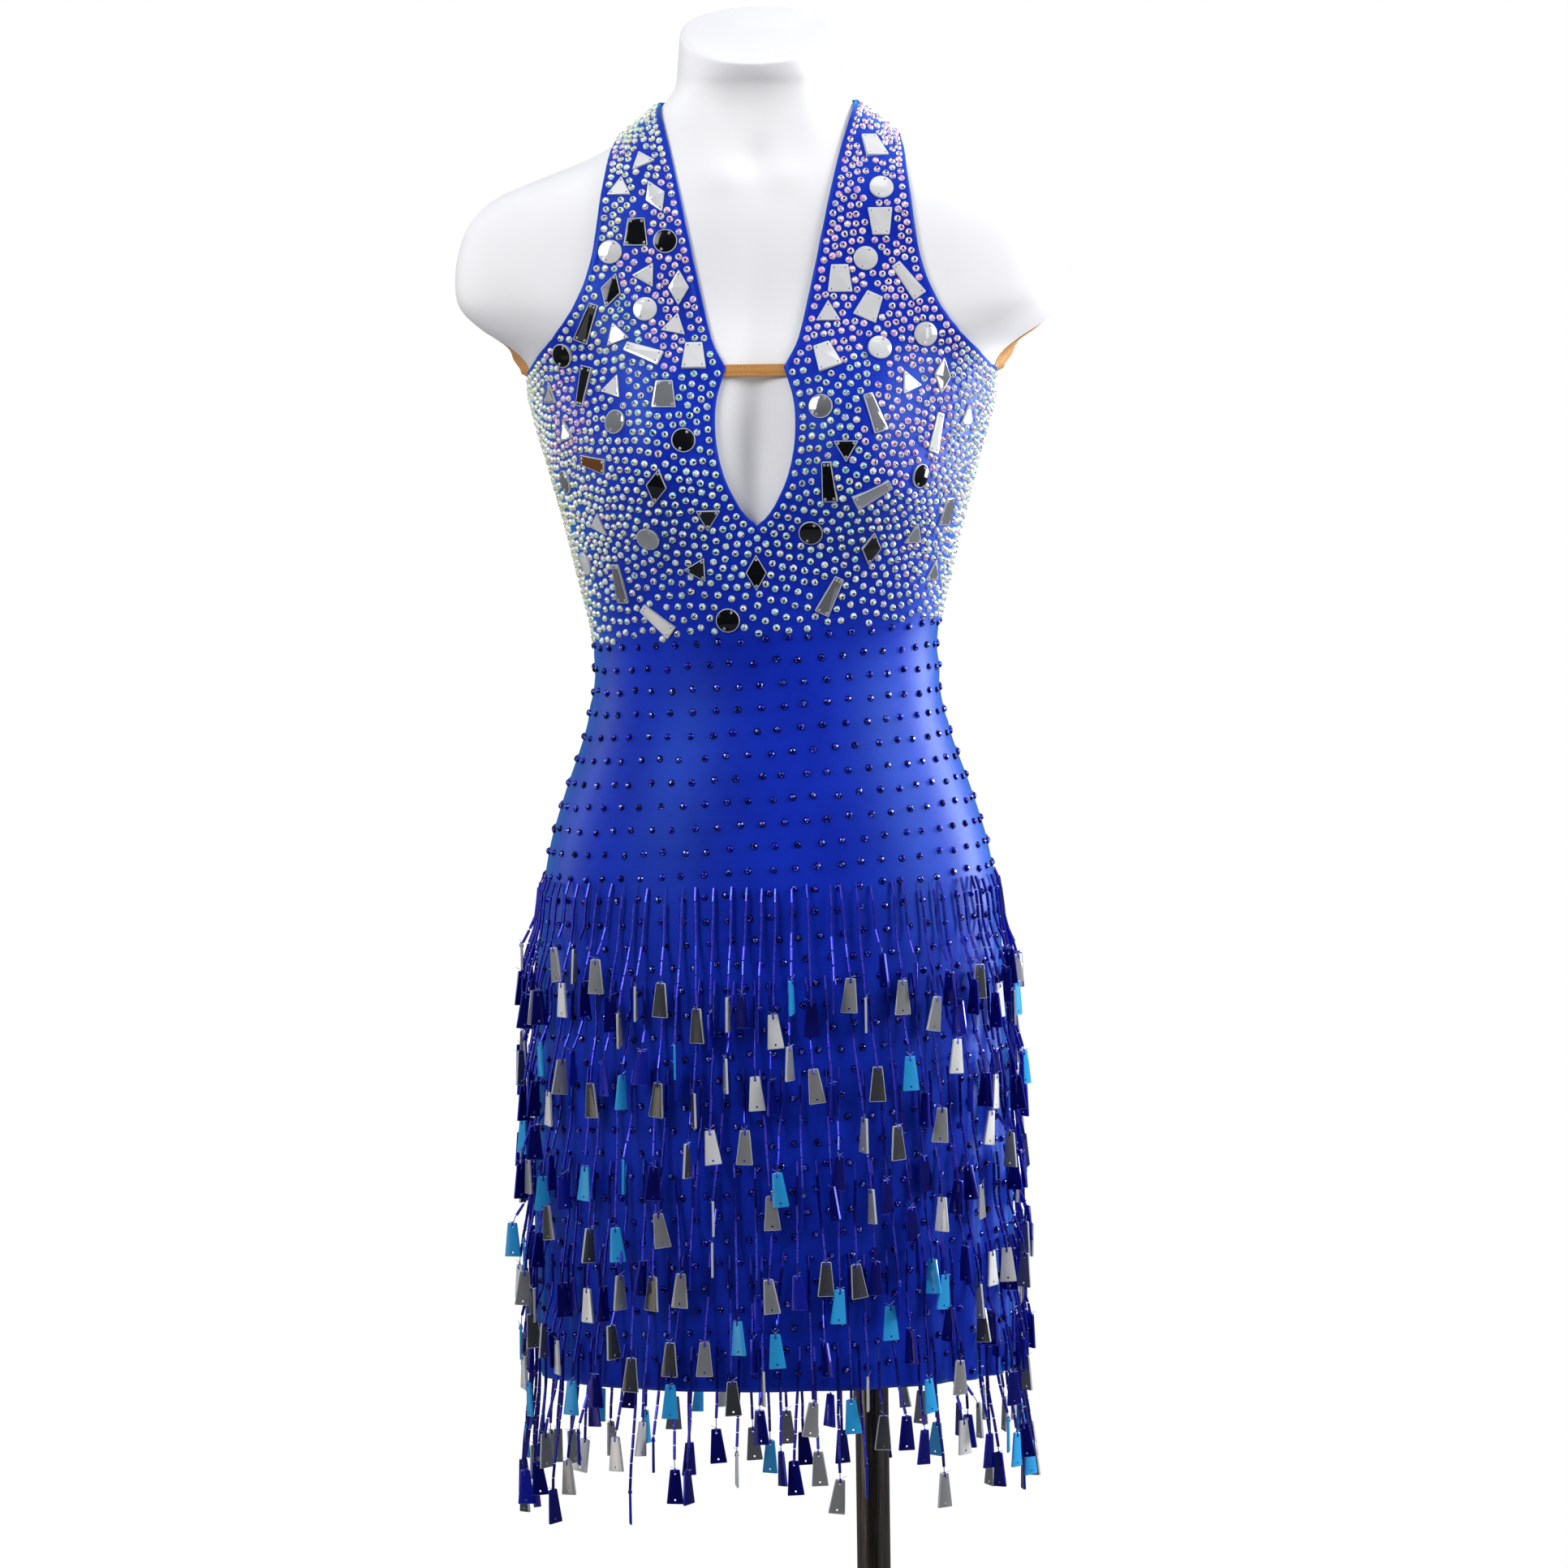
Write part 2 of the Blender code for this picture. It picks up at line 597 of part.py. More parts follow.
def turned(name, profile, location, material, collection, closed=False):
    """A profile of (radius, height), down its outer side, turned round the Z axis."""
    bm = bmesh.new()
    points = [bm.verts.new((radius, 0, height)) for radius, height in profile]
    for first, second in zip(points, points[1:]):
        bm.edges.new((first, second))
    if closed:
        bm.edges.new((points[-1], points[0]))
    piece = add_mesh(name, bm, material, collection)
    piece.location = location
    screw = piece.modifiers.new("Turn", "SCREW")
    screw.steps = TURNED_STEPS
    screw.render_steps = TURNED_STEPS
    screw.use_merge_vertices = True
    screw.merge_threshold = 0.0001
    return piece


def stand(steel, collection):
    foot = BASE_THICKNESS
    turned("base_plate", (
        (0, foot), (BASE_RADIUS - BASE_EDGE, foot), (BASE_RADIUS, foot - BASE_EDGE),
        (BASE_RADIUS, BASE_EDGE), (BASE_RADIUS - BASE_EDGE, 0), (0, 0),
    ), (0, 0, 0), steel, collection)
    bore = POLE_RADIUS + SLIDING_GAP
    collar_foot = foot + SLIDING_GAP
    turned("base_collar", (
        (bore, COLLAR_HEIGHT), (COLLAR_RADIUS - BASE_EDGE, COLLAR_HEIGHT),
        (COLLAR_RADIUS, COLLAR_HEIGHT - BASE_EDGE), (COLLAR_RADIUS, 0), (bore, 0),
    ), (POLE_ACROSS, 0, collar_foot), steel, collection, closed=True)
    socket_top = TRUNK_BOTTOM - SLIDING_GAP
    turned("pole_socket", (
        (0, 0), (SOCKET_RADIUS, 0), (SOCKET_RADIUS, -SOCKET_FLANGE), (SLEEVE_RADIUS, -SOCKET_FLANGE),
        (SLEEVE_RADIUS, -SLEEVE_LENGTH), (bore, -SLEEVE_LENGTH), (bore, -SOCKET_ROOF), (0, -SOCKET_ROOF),
    ), (POLE_ACROSS, 0, socket_top), steel, collection)
    pole_top = socket_top - SOCKET_ROOF - SLIDING_GAP
    turned("stand_pole", (
        (0, pole_top), (POLE_RADIUS, pole_top), (POLE_RADIUS, collar_foot), (0, collar_foot),
    ), (POLE_ACROSS, 0, 0), steel, collection)


def main():
    clear_scene()
    pieces = bpy.data.collections.new("dance_dress_on_form")
    cutters = bpy.data.collections.new("cutters")
    for collection in (pieces, cutters):
        bpy.context.scene.collection.children.link(collection)

    blue_cloth = make_material("blue_stretch_cloth", (0.010, 0.035, 0.62), 0.55)
    back_cloth = make_material("blue_back_cloth", (0.010, 0.032, 0.56), 0.55)
    band_cloth = make_material("blue_band_cloth", (0.012, 0.040, 0.60), 0.55)
    tan_elastic = make_material("tan_elastic", (0.56, 0.27, 0.06), 0.6)
    white_form = make_material("white_form", (0.86, 0.86, 0.88), 0.6)
    steel = make_material("polished_steel", (0.55, 0.54, 0.52), 0.15, 1.0)
    beads = make_material("cobalt_beads_and_tiles", (0.03, 0.05, 0.40), 0.15)
    acrylic = make_material("mirror_acrylic", (0.75, 0.76, 0.78), 0.08, 1.0)

    front = cloth_half("front_panel", front_rows(), blue_cloth, pieces)
    mirrors = mirror_cutter(front, acrylic, cutters)
    raised = front.modifiers.new("Mirrors", "BOOLEAN")
    raised.operation = "UNION"
    raised.solver = "EXACT"
    raised.object = mirrors
    cloth_half("back_panel", back_rows(), back_cloth, pieces)
    cloth_half("neck_band", neck_band_rows(), band_cloth, pieces, BAND_CLEARANCE)
    keyhole_strap(tan_elastic, pieces)
    back_strap(-1, "back_strap_left", tan_elastic, pieces)
    back_strap(1, "back_strap_right", tan_elastic, pieces)
    for number in range(ROW_COUNT):
        fringe_row(number, beads, pieces)
    dress_form(white_form, pieces)
    stand(steel, pieces)


main()
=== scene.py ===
# Looks of a halter dance dress on a white dress form: cobalt stretch cloth set with cut stones and
# sew-on mirrors, six rounds of bead strings that end in acrylic tiles, tan elastic and a steel stand
import math
import random
from collections import namedtuple

import bpy
import numpy as np
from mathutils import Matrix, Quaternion, Vector, noise
from mathutils.bvhtree import BVHTree
from mathutils.geometry import tessellate_polygon
from mathutils.kdtree import KDTree


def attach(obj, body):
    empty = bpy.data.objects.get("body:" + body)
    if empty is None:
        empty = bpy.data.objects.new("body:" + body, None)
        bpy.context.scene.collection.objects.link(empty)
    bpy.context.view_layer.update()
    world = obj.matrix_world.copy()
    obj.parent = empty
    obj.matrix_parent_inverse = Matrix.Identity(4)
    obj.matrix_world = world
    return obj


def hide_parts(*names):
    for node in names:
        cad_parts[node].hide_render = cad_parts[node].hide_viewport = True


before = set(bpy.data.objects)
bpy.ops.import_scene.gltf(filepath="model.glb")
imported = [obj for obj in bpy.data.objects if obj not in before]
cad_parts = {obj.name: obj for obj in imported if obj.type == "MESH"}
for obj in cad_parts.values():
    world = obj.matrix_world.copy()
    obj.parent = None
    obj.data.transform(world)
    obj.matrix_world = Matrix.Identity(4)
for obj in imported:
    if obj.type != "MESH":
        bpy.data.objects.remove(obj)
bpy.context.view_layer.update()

mm = 0.001
quarter = math.pi / 2


def linearColour(hexText):  # sRGB hex to the linear values that shaders take
    parts = [int(hexText[k:k + 2], 16) / 255 for k in (1, 3, 5)]
    return tuple(c / 12.92 if c <= 0.04045 else ((c + 0.055) / 1.055) ** 2.4 for c in parts) + (1.0,)


def addNode(tree, kind, settings=None, links=None, ramp=None):  # links: input from (node, output)
    node = tree.nodes.new("ShaderNode" + kind)
    for name, value in (settings or {}).items():
        if isinstance(name, str) and hasattr(node, name):
            setattr(node, name, value)
        else:
            node.inputs[name].default_value = value
    for name, (source, output) in (links or {}).items():
        tree.links.new(source.outputs[output], node.inputs[name])
    for k, (place, hexText) in enumerate(ramp or ()):
        stops = node.color_ramp.elements
        stop = stops[k] if k < len(stops) else stops.new(place)
        stop.position = place
        stop.color = linearColour(hexText)
    return node


def newMaterial(name, values):
    material = bpy.data.materials.new(name)
    material.use_nodes = True
    shader = material.node_tree.nodes["Principled BSDF"]
    for socket, value in values.items():
        shader.inputs[socket].default_value = value
    return material, material.node_tree, shader


def joinShader(tree, shader, links):
    for socket, (source, output) in links.items():
        tree.links.new(source.outputs[output], shader.inputs[socket])


# Body line of the form, from the hem to the neck. The cloth lies along it
Section = namedtuple("Section", "height halfWidth front back squareness")
bodySections = [Section(*row) for row in (
    (0.604, 0.1550, 0.118, 0.122, 2.10),
    (0.700, 0.1545, 0.118, 0.124, 2.10),
    (0.800, 0.1530, 0.117, 0.126, 2.12),
    (0.900, 0.1480, 0.114, 0.124, 2.15),
    (0.950, 0.1410, 0.108, 0.116, 2.15),
    (0.986, 0.1305, 0.102, 0.106, 2.12),
    (1.028, 0.1160, 0.094, 0.095, 2.10),
    (1.062, 0.1095, 0.089, 0.088, 2.10),
    (1.092, 0.1100, 0.088, 0.085, 2.10),
    (1.124, 0.1170, 0.092, 0.088, 2.15),
    (1.166, 0.1270, 0.096, 0.097, 2.20),
    (1.209, 0.1385, 0.098, 0.104, 2.25),
    (1.240, 0.1465, 0.099, 0.106, 2.25),
    (1.266, 0.1520, 0.097, 0.107, 2.25),
    (1.277, 0.1620, 0.093, 0.105, 2.25),
    (1.290, 0.1820, 0.088, 0.102, 2.30),
    (1.304, 0.1960, 0.084, 0.100, 2.35),
    (1.322, 0.1990, 0.080, 0.098, 2.35),
    (1.344, 0.1955, 0.076, 0.094, 2.30),
    (1.360, 0.1880, 0.073, 0.091, 2.25),
    (1.375, 0.1720, 0.069, 0.086, 2.20),
    (1.388, 0.1410, 0.065, 0.080, 2.10),
    (1.399, 0.1120, 0.061, 0.074, 2.05),
    (1.411, 0.0905, 0.058, 0.069, 2.00),
    (1.424, 0.0740, 0.056, 0.063, 2.00),
    (1.434, 0.0620, 0.055, 0.058, 2.00),
    (1.445, 0.0540, 0.056, 0.050, 2.00),
    (1.460, 0.0520, 0.059, 0.045, 2.00),
    (1.490, 0.0495, 0.062, 0.040, 2.00),
)]
sectionHeights = np.array([row.height for row in bodySections])

bust = {"across": 0.072, "height": 1.198, "fullness": 0.026, "width": 0.046, "above": 0.062,
        "below": 0.044, "fade": 0.35, "formFullness": 0.92}
dress = {
    "hem": 0.609,
    "sideCorner": 1.2615,
    "clearance": 0.0011,      # inner face off the form, in the solids
    "bandClearance": 0.0016,
    "wall": 0.0013,           # outer face of the solids stands this far off the inner one
    "thickness": 0.0009,      # real cloth, flush with the solids' outer face
    "seamGap": 0.0003,
    "edgeFold": 0.0035,       # width of the turned edge
    "gridStep": 0.0034,
    "columns": 46,
}


def sectionValue(height, column):  # one column of bodySections at any height, on a cubic through its rows
    values = np.array([getattr(row, column) for row in bodySections])
    last = len(values) - 1
    level = np.clip(height, sectionHeights[0], sectionHeights[-1])
    low = np.clip(np.searchsorted(sectionHeights, level, side="right") - 1, 0, last - 1)
    before, after = np.maximum(np.arange(last + 1) - 1, 0), np.minimum(np.arange(last + 1) + 1, last)
    slopes = (values[after] - values[before]) / (sectionHeights[after] - sectionHeights[before])
    step = sectionHeights[low + 1] - sectionHeights[low]
    u = (level - sectionHeights[low]) / step
    return (values[low] * (1 + 2 * u) * (1 - u) ** 2 + slopes[low] * step * u * (1 - u) ** 2
            + values[low + 1] * u * u * (3 - 2 * u) + slopes[low + 1] * step * u * u * (u - 1))


def bustDepth(across, height, facing):
    spread = np.where(height > bust["height"], bust["above"], bust["below"])
    sideways = (np.abs(across) - bust["across"]) / bust["width"]
    upright = (height - bust["height"]) / spread
    fade = np.clip(facing / bust["fade"], 0, 1)
    return bust["fullness"] * np.exp(-sideways ** 2 - upright ** 2) * fade * fade * (3 - 2 * fade)


def bodyPoint(turn, height, inset=0.0, fullness=1.0):  # turn 0 is centre front, a quarter the +X side
    turn, height = np.broadcast_arrays(np.asarray(turn, float), np.asarray(height, float))
    level = np.maximum(height, dress["hem"])
    power = sectionValue(level, "squareness")
    side, facing = np.sin(turn), np.cos(turn)
    reach = (np.abs(side) ** power + np.abs(facing) ** power) ** (-1 / power)
    depth = np.where(facing > 0, sectionValue(level, "front"), sectionValue(level, "back")) - inset
    across = (sectionValue(level, "halfWidth") - inset) * side * reach
    forward = depth * facing * reach + fullness * bustDepth(across, level, facing)
    return np.stack([across, -forward, height], -1)


def bodyNormal(turn, height):
    step = 0.002
    level = np.maximum(height, dress["hem"] + step)
    around = bodyPoint(turn + step, level) - bodyPoint(turn - step, level)
    upward = bodyPoint(turn, level + step) - bodyPoint(turn, level - step)
    normal = np.cross(around, upward)
    return normal / np.linalg.norm(normal, axis=-1, keepdims=True)


def turnAt(across, height):  # the turn at which the front reaches this distance across
    power = sectionValue(height, "squareness")
    share = np.clip(np.abs(across) / sectionValue(height, "halfWidth"), 1e-6, 0.99999)
    return np.copysign(np.arctan((share ** -power - 1) ** (-1 / power)), across)


def eased(value):
    share = np.clip(value, 0, 1)
    return share * share * (3 - 2 * share)


def seamTurn(height):
    return quarter - dress["seamGap"] / sectionValue(height, "halfWidth")


# Soft troughs (negative rise, mm) that run up from the hem, and drag lines from the side corners
Fold = namedtuple("Fold", "startDegrees startHeight endDegrees endHeight width rise")
foldRadius = 0.14
folds = [Fold(*row) for row in (
    (-79, 0.600, -74, 0.88, 8, -3.8), (-58, 0.600, -57, 0.76, 11, -3.0), (-33, 0.600, -35, 0.82, 10, -3.4),
    (-12, 0.600, -13, 0.74, 11, -2.4), (9, 0.600, 11, 0.79, 12, -3.0), (31, 0.600, 28, 0.76, 9, -2.8),
    (48, 0.600, 47, 0.88, 8, -4.2), (61, 0.600, 63, 0.93, 7, -4.8), (72, 0.600, 70, 0.90, 6, -4.4),
    (84, 0.600, 82, 0.84, 8, -3.8), (101, 0.600, 103, 0.86, 9, -4.0), (124, 0.600, 121, 0.78, 11, -3.2),
    (149, 0.600, 151, 0.83, 10, -3.6), (173, 0.600, 170, 0.76, 12, -2.7), (-160, 0.600, -158, 0.82, 9, -3.6),
    (-136, 0.600, -139, 0.77, 11, -2.9), (-113, 0.600, -110, 0.86, 9, -4.0), (-96, 0.600, -97, 0.76, 8, -2.8),
    (55, 0.600, 55, 0.80, 6, 1.6), (67, 0.600, 66, 0.82, 6, 1.8), (-68, 0.600, -66, 0.75, 8, 1.2),
    (112, 0.600, 112, 0.76, 8, 1.3), (-104, 0.600, -104, 0.74, 7, 1.2), (20, 0.600, 19, 0.72, 9, 1.0),
    (88, 1.250, 55, 1.205, 5, 1.1), (-88, 1.250, -52, 1.212, 5, 1.1), (89, 1.232, 62, 1.170, 6, 1.0),
    (-89, 1.235, -60, 1.176, 6, 0.9), (94, 1.240, 128, 1.150, 6, 1.1), (-94, 1.238, -125, 1.158, 6, 1.0),
    (90, 1.070, 52, 1.052, 6, 1.1), (-90, 1.078, -48, 1.066, 6, 1.0), (92, 1.064, 140, 1.086, 6, 1.1),
    (-92, 1.070, -138, 1.058, 6, 1.0), (86, 0.925, 34, 0.890, 7, 1.2), (-87, 0.912, -44, 0.893, 7, 1.0),
    (88, 1.030, 40, 1.012, 5, 0.8), (-89, 1.044, -52, 1.030, 5, 0.8), (93, 0.930, 136, 0.900, 7, 1.1),
)]


def foldRise(turn, height):
    rise = np.zeros(np.broadcast(turn, height).shape)
    for fold in folds:
        reach = (math.radians(fold.endDegrees - fold.startDegrees) * foldRadius, fold.endHeight - fold.startHeight)
        away = (turn - math.radians(fold.startDegrees) + math.pi) % (2 * math.pi) - math.pi
        x, y = away * foldRadius, height - fold.startHeight
        share = np.clip((x * reach[0] + y * reach[1]) / (reach[0] ** 2 + reach[1] ** 2), 0, 1)
        off = np.hypot(x - share * reach[0], y - share * reach[1])
        rise = rise + fold.rise * mm * (1 - share) ** 0.8 * np.exp(-(off / (fold.width * mm)) ** 2)
    return rise


outerLift = dress["clearance"] + dress["wall"]


def clothPoint(turn, height, lift=outerLift):  # on the cloth's outer face, folds included
    turn, height = np.asarray(turn, float), np.asarray(height, float)
    return bodyPoint(turn, height) + bodyNormal(turn, height) * (lift + foldRise(turn, height))[..., None]


# Edges of the front from the centre line, in metres
Edge = namedtuple("Edge", "height across")
keyhole = [Edge(*row) for row in (
    (1.1635, 0.0), (1.1703, 0.0078), (1.1815, 0.0150), (1.1958, 0.0214),
    (1.2127, 0.0254), (1.2290, 0.0265), (1.2430, 0.0254), (1.2540, 0.0225),
)]
neckEdge = [Edge(*row) for row in (
    (1.2640, 0.0190), (1.2770, 0.0262), (1.2880, 0.0298), (1.3020, 0.0330), (1.3220, 0.0374),
    (1.3450, 0.0422), (1.3680, 0.0471), (1.3900, 0.0520), (1.4090, 0.0563), (1.4200, 0.0590),
    (1.4280, 0.0612),
)]
armEdge = [Edge(*row) for row in (
    (1.2615, 0.1480), (1.2680, 0.1450), (1.2760, 0.1390), (1.2880, 0.1280), (1.3050, 0.1160),
    (1.3280, 0.1065), (1.3500, 0.1020), (1.3720, 0.0990), (1.3900, 0.0960), (1.3990, 0.0945),
    (1.4060, 0.0925),
)]
shoulderRidge = {"inner": 1.434, "outer": 1.411}
BandSection = namedtuple("BandSection", "degrees low high")
neckBand = [BandSection(*row) for row in (
    (90, 1.411, 1.434), (108, 1.4125, 1.434), (126, 1.415, 1.435), (144, 1.418, 1.4365),
    (162, 1.420, 1.438), (180, 1.421, 1.4385),
)]
backCut = {"low": 1.090, "scoop": 0.9, "levelTop": 1.01}


def curveThrough(knots, step):  # Catmull-Rom through rows of numbers, the first two pairs being places
    knots = [np.array(knot, float) for knot in knots]
    padded = [knots[0] * 2 - knots[1]] + knots + [knots[-1] * 2 - knots[-2]]
    points = []
    for k in range(1, len(padded) - 2):
        a, b, c, d = padded[k - 1:k + 3]
        pieces = max(1, math.ceil(np.abs(c - b).max() / step))
        for u in np.arange(pieces) / pieces:
            points.append(0.5 * (2 * b + (c - a) * u + (2 * a - 5 * b + 4 * c - d) * u ** 2
                                 + (3 * b - a - 3 * c + d) * u ** 3))
    return points + [knots[-1]]


def frontRows(step):  # (startTurn, startHeight, endTurn, endHeight) of each row, from the hem to the shoulder
    rows = []
    for height in np.linspace(dress["hem"], keyhole[0].height, math.ceil((keyhole[0].height - dress["hem"]) / step)):
        rows.append((0.0, height, float(seamTurn(height)), height))
    corner, inner, outer = dress["sideCorner"], shoulderRidge["inner"], shoulderRidge["outer"]
    holeKnots = [(hole.across, hole.height, hole.height) for hole in keyhole]
    holeKnots.append((neckEdge[0].across, neckEdge[0].height, corner))
    for across, height, sideHeight in curveThrough(holeKnots, step)[1:]:
        rows.append((float(turnAt(across, height)), height, float(seamTurn(sideHeight)), sideHeight))
    arms = [(float(sectionValue(corner, "halfWidth")), corner)] + [tuple(edge)[::-1] for edge in armEdge[1:]]
    neckKnots = [(neck.across, neck.height) + arm for neck, arm in zip(neckEdge, arms)]
    ridge = (float(sectionValue(inner, "halfWidth")), inner, float(sectionValue(outer, "halfWidth")), outer)
    for across, height, armAcross, armHeight in curveThrough(neckKnots + [ridge], step)[1:-1]:
        rows.append((float(turnAt(across, height)), height, float(turnAt(armAcross, armHeight)), armHeight))
    rows.append((float(seamTurn(inner)), inner, float(seamTurn(outer)), outer))
    return rows


def columnShares(width, count):  # close columns along both edges for the turned fold, even ones between
    fold = dress["edgeFold"]
    ends = np.array([0, 0.17 * fold, 0.9 * fold, 1.1 * fold]) / width
    return np.concatenate([ends[:-1], np.linspace(ends[-1], 1 - ends[-1], count), (1 - ends[:-1])[::-1]])


def frontGrid(step, columns):
    turns, heights = [], []
    for startTurn, startHeight, endTurn, endHeight in frontRows(step):
        width = np.linalg.norm(bodyPoint(endTurn, endHeight) - bodyPoint(startTurn, startHeight)) * 1.1
        shares = columnShares(width, columns)
        turns.append(startTurn + (endTurn - startTurn) * shares)
        heights.append(startHeight + (endHeight - startHeight) * shares)
    return np.array(turns), np.array(heights)


def backEdge(share):  # height of the back's top edge: share 0 is the side corner and 1 the centre back
    scoop = (1 - np.sin(share * quarter)) ** backCut["scoop"]
    return backCut["low"] + (dress["sideCorner"] - backCut["low"]) * scoop


def backGrid(step, columns):
    shares = columnShares(0.21, columns)
    fold = dress["edgeFold"]
    level = np.linspace(dress["hem"], backCut["levelTop"], math.ceil((backCut["levelTop"] - dress["hem"]) / step))
    rows = [np.full(len(shares), height) for height in level]
    edge = backEdge(shares)
    rises = np.linspace(0, 1, math.ceil(0.16 / step))[1:]
    rows += [backCut["levelTop"] + (edge - 1.1 * fold - backCut["levelTop"]) * rise for rise in rises]
    rows += [edge - fold * part for part in (0.9, 0.17, 0)]
    heights = np.array(rows)
    side = math.pi - seamTurn(heights)
    return side + (math.pi - side) * shares, heights


def bandGrid(step, columns):
    degrees = np.linspace(90, 180, columns)
    low = np.interp(degrees, [row.degrees for row in neckBand], [row.low for row in neckBand])
    high = np.interp(degrees, [row.degrees for row in neckBand], [row.high for row in neckBand])
    shares = columnShares(0.023, math.ceil(0.016 / step))
    heights = low + (high - low) * shares[:, None]
    turns = np.maximum(np.radians(degrees), math.pi - seamTurn(heights))
    return turns, heights


# Joined meshes made from arrays
Shape = namedtuple("Shape", "points faces slots smooth")


def joinedMesh(name, shapes, materials, sharpAngle=40):
    offset, points, faces, slots, smooth = 0, [], [], [], []
    for shape in shapes:
        points.append(shape.points)
        faces += [[corner + offset for corner in face] for face in shape.faces]
        slots += list(shape.slots)
        smooth += list(shape.smooth)
        offset += len(shape.points)
    mesh = bpy.data.meshes.new(name)
    mesh.from_pydata(np.concatenate(points).tolist(), [], faces)
    for material in materials:
        mesh.materials.append(material)
    mesh.polygons.foreach_set("material_index", slots)
    mesh.polygons.foreach_set("use_smooth", smooth)
    mesh.set_sharp_from_angle(angle=math.radians(sharpAngle))
    mesh.update()
    piece = bpy.data.objects.new(name, mesh)
    bpy.context.scene.collection.objects.link(piece)
    return piece


def moved(shape, origin, basis, scale=1.0, slotChange=None):  # basis rows are the shape's own x, y and z axes
    slots = shape.slots if slotChange is None else [slotChange.get(slot, slot) for slot in shape.slots]
    return Shape(shape.points * scale @ np.array(basis) + origin, shape.faces, slots, shape.smooth)


def gridShape(points, slot=0, closed=False):  # rows of points, optionally joined round
    rows, columns = points.shape[:2]
    faces = []
    for r in range(rows - 1):
        for c in range(columns if closed else columns - 1):
            following = (c + 1) % columns
            faces.append((r * columns + c, r * columns + following,
                          (r + 1) * columns + following, (r + 1) * columns + c))
    return Shape(points.reshape(-1, 3), faces, [slot] * len(faces), [True] * len(faces))


def addUv(piece, values):  # one (u, v) in metres for each vertex, so that patterns keep their real size
    layer = piece.data.uv_layers.new(name="clothMetres")
    corners = np.empty(len(piece.data.loops), int)
    piece.data.loops.foreach_get("vertex_index", corners)
    layer.data.foreach_set("uv", values[corners].ravel())


def finishPiece(piece, slot, *nodes):
    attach(piece, "root")
    if nodes:
        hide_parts(*nodes)
    return piece


def tubeShape(path, radius, sides, slot, capped=True):  # a round rod through a few points
    path = np.asarray(path, float)
    rings = []
    for k, point in enumerate(path):
        ahead = path[min(k + 1, len(path) - 1)] - path[max(k - 1, 0)]
        ahead = ahead / np.linalg.norm(ahead)
        right = np.cross(ahead, (0.3, 1.0, 0.1))
        right /= np.linalg.norm(right)
        above = np.cross(right, ahead)
        angles = 2 * math.pi * np.arange(sides) / sides
        rings.append(point + radius * (np.outer(np.cos(angles), right) + np.outer(np.sin(angles), above)))
    body = gridShape(np.array(rings), slot, closed=True)
    if not capped:
        return body
    last = len(body.points) - sides
    caps = [tuple(range(sides))[::-1], tuple(range(last, last + sides))]
    return Shape(body.points, body.faces + caps, body.slots + [slot] * 2, body.smooth + [False] * 2)


# Cloth

# Satin stretch knit of polyamide and elastane: smooth and close, with a soft wide sheen and wales
# that are only just seen. Real wales are 0.35 mm apart, drawn at 0.9 mm so that they show
def makeSatinKnit():
    knit = {"deep": "#0C1BA0", "lit": "#1530C4", "wale": 0.9 * mm, "patch": 55 * mm}
    material, tree, shader = newMaterial("satinStretchKnit", {
        "Roughness": 0.4, "Sheen Weight": 1.0, "Sheen Roughness": 0.38,
        "Sheen Tint": linearColour("#44BEFF"), "Specular IOR Level": 0.4,
        "Specular Tint": linearColour("#7FBEFF")})
    uv = addNode(tree, "UVMap", {"uv_map": "clothMetres"})
    wales = addNode(tree, "TexWave", {"bands_direction": "X", "Scale": 0.314 / knit["wale"],
                                      "Distortion": 0.6, "Detail": 1.0}, {"Vector": (uv, "UV")})
    courses = addNode(tree, "TexWave", {"bands_direction": "Y", "Scale": 0.314 / (knit["wale"] * 0.7)},
                      {"Vector": (uv, "UV")})
    patches = addNode(tree, "TexNoise", {"Scale": 1 / knit["patch"], "Detail": 3.0}, {"Vector": (uv, "UV")})
    # The colour darkens between the knit loops, a painted shade in the grooves that the bump draws; the larger patches
    # are random tone
    loops = addNode(tree, "Math", {"operation": "MULTIPLY"}, {0: (wales, "Fac"), 1: (courses, "Fac")})
    tone = addNode(tree, "Math", {"operation": "MULTIPLY_ADD", 1: 0.25}, {0: (loops, 0), 2: (patches, "Fac")})
    colour = addNode(tree, "ValToRGB", None, {"Fac": (tone, 0)}, [(0.25, knit["deep"]), (0.85, knit["lit"])])
    bump = addNode(tree, "Bump", {"Strength": 0.25, "Distance": 0.15 * mm}, {"Height": (loops, 0)})
    joinShader(tree, shader, {"Base Color": (colour, "Color"), "Normal": (bump, "Normal")})
    return material


def edgeRise(distance):  # the turned edge is two layers, with a rounded fold and a step where it ends
    fold = dress["edgeFold"]
    return np.interp(distance, [0, 0.17 * fold, 0.9 * fold, 1.1 * fold], [-0.25 * mm, 0.3 * mm, 0.32 * mm, 0])


def edgeTree(lines):
    points = np.concatenate(lines)
    tree = KDTree(len(points))
    for k, point in enumerate(points):
        tree.insert(point, k)
    tree.balance()
    return tree


def edgeDistance(tree, points):
    return np.array([tree.find(point)[2] for point in points.reshape(-1, 3)]).reshape(points.shape[:-1])


def bothSides(points):
    return np.concatenate([points, points * (-1, 1, 1)])


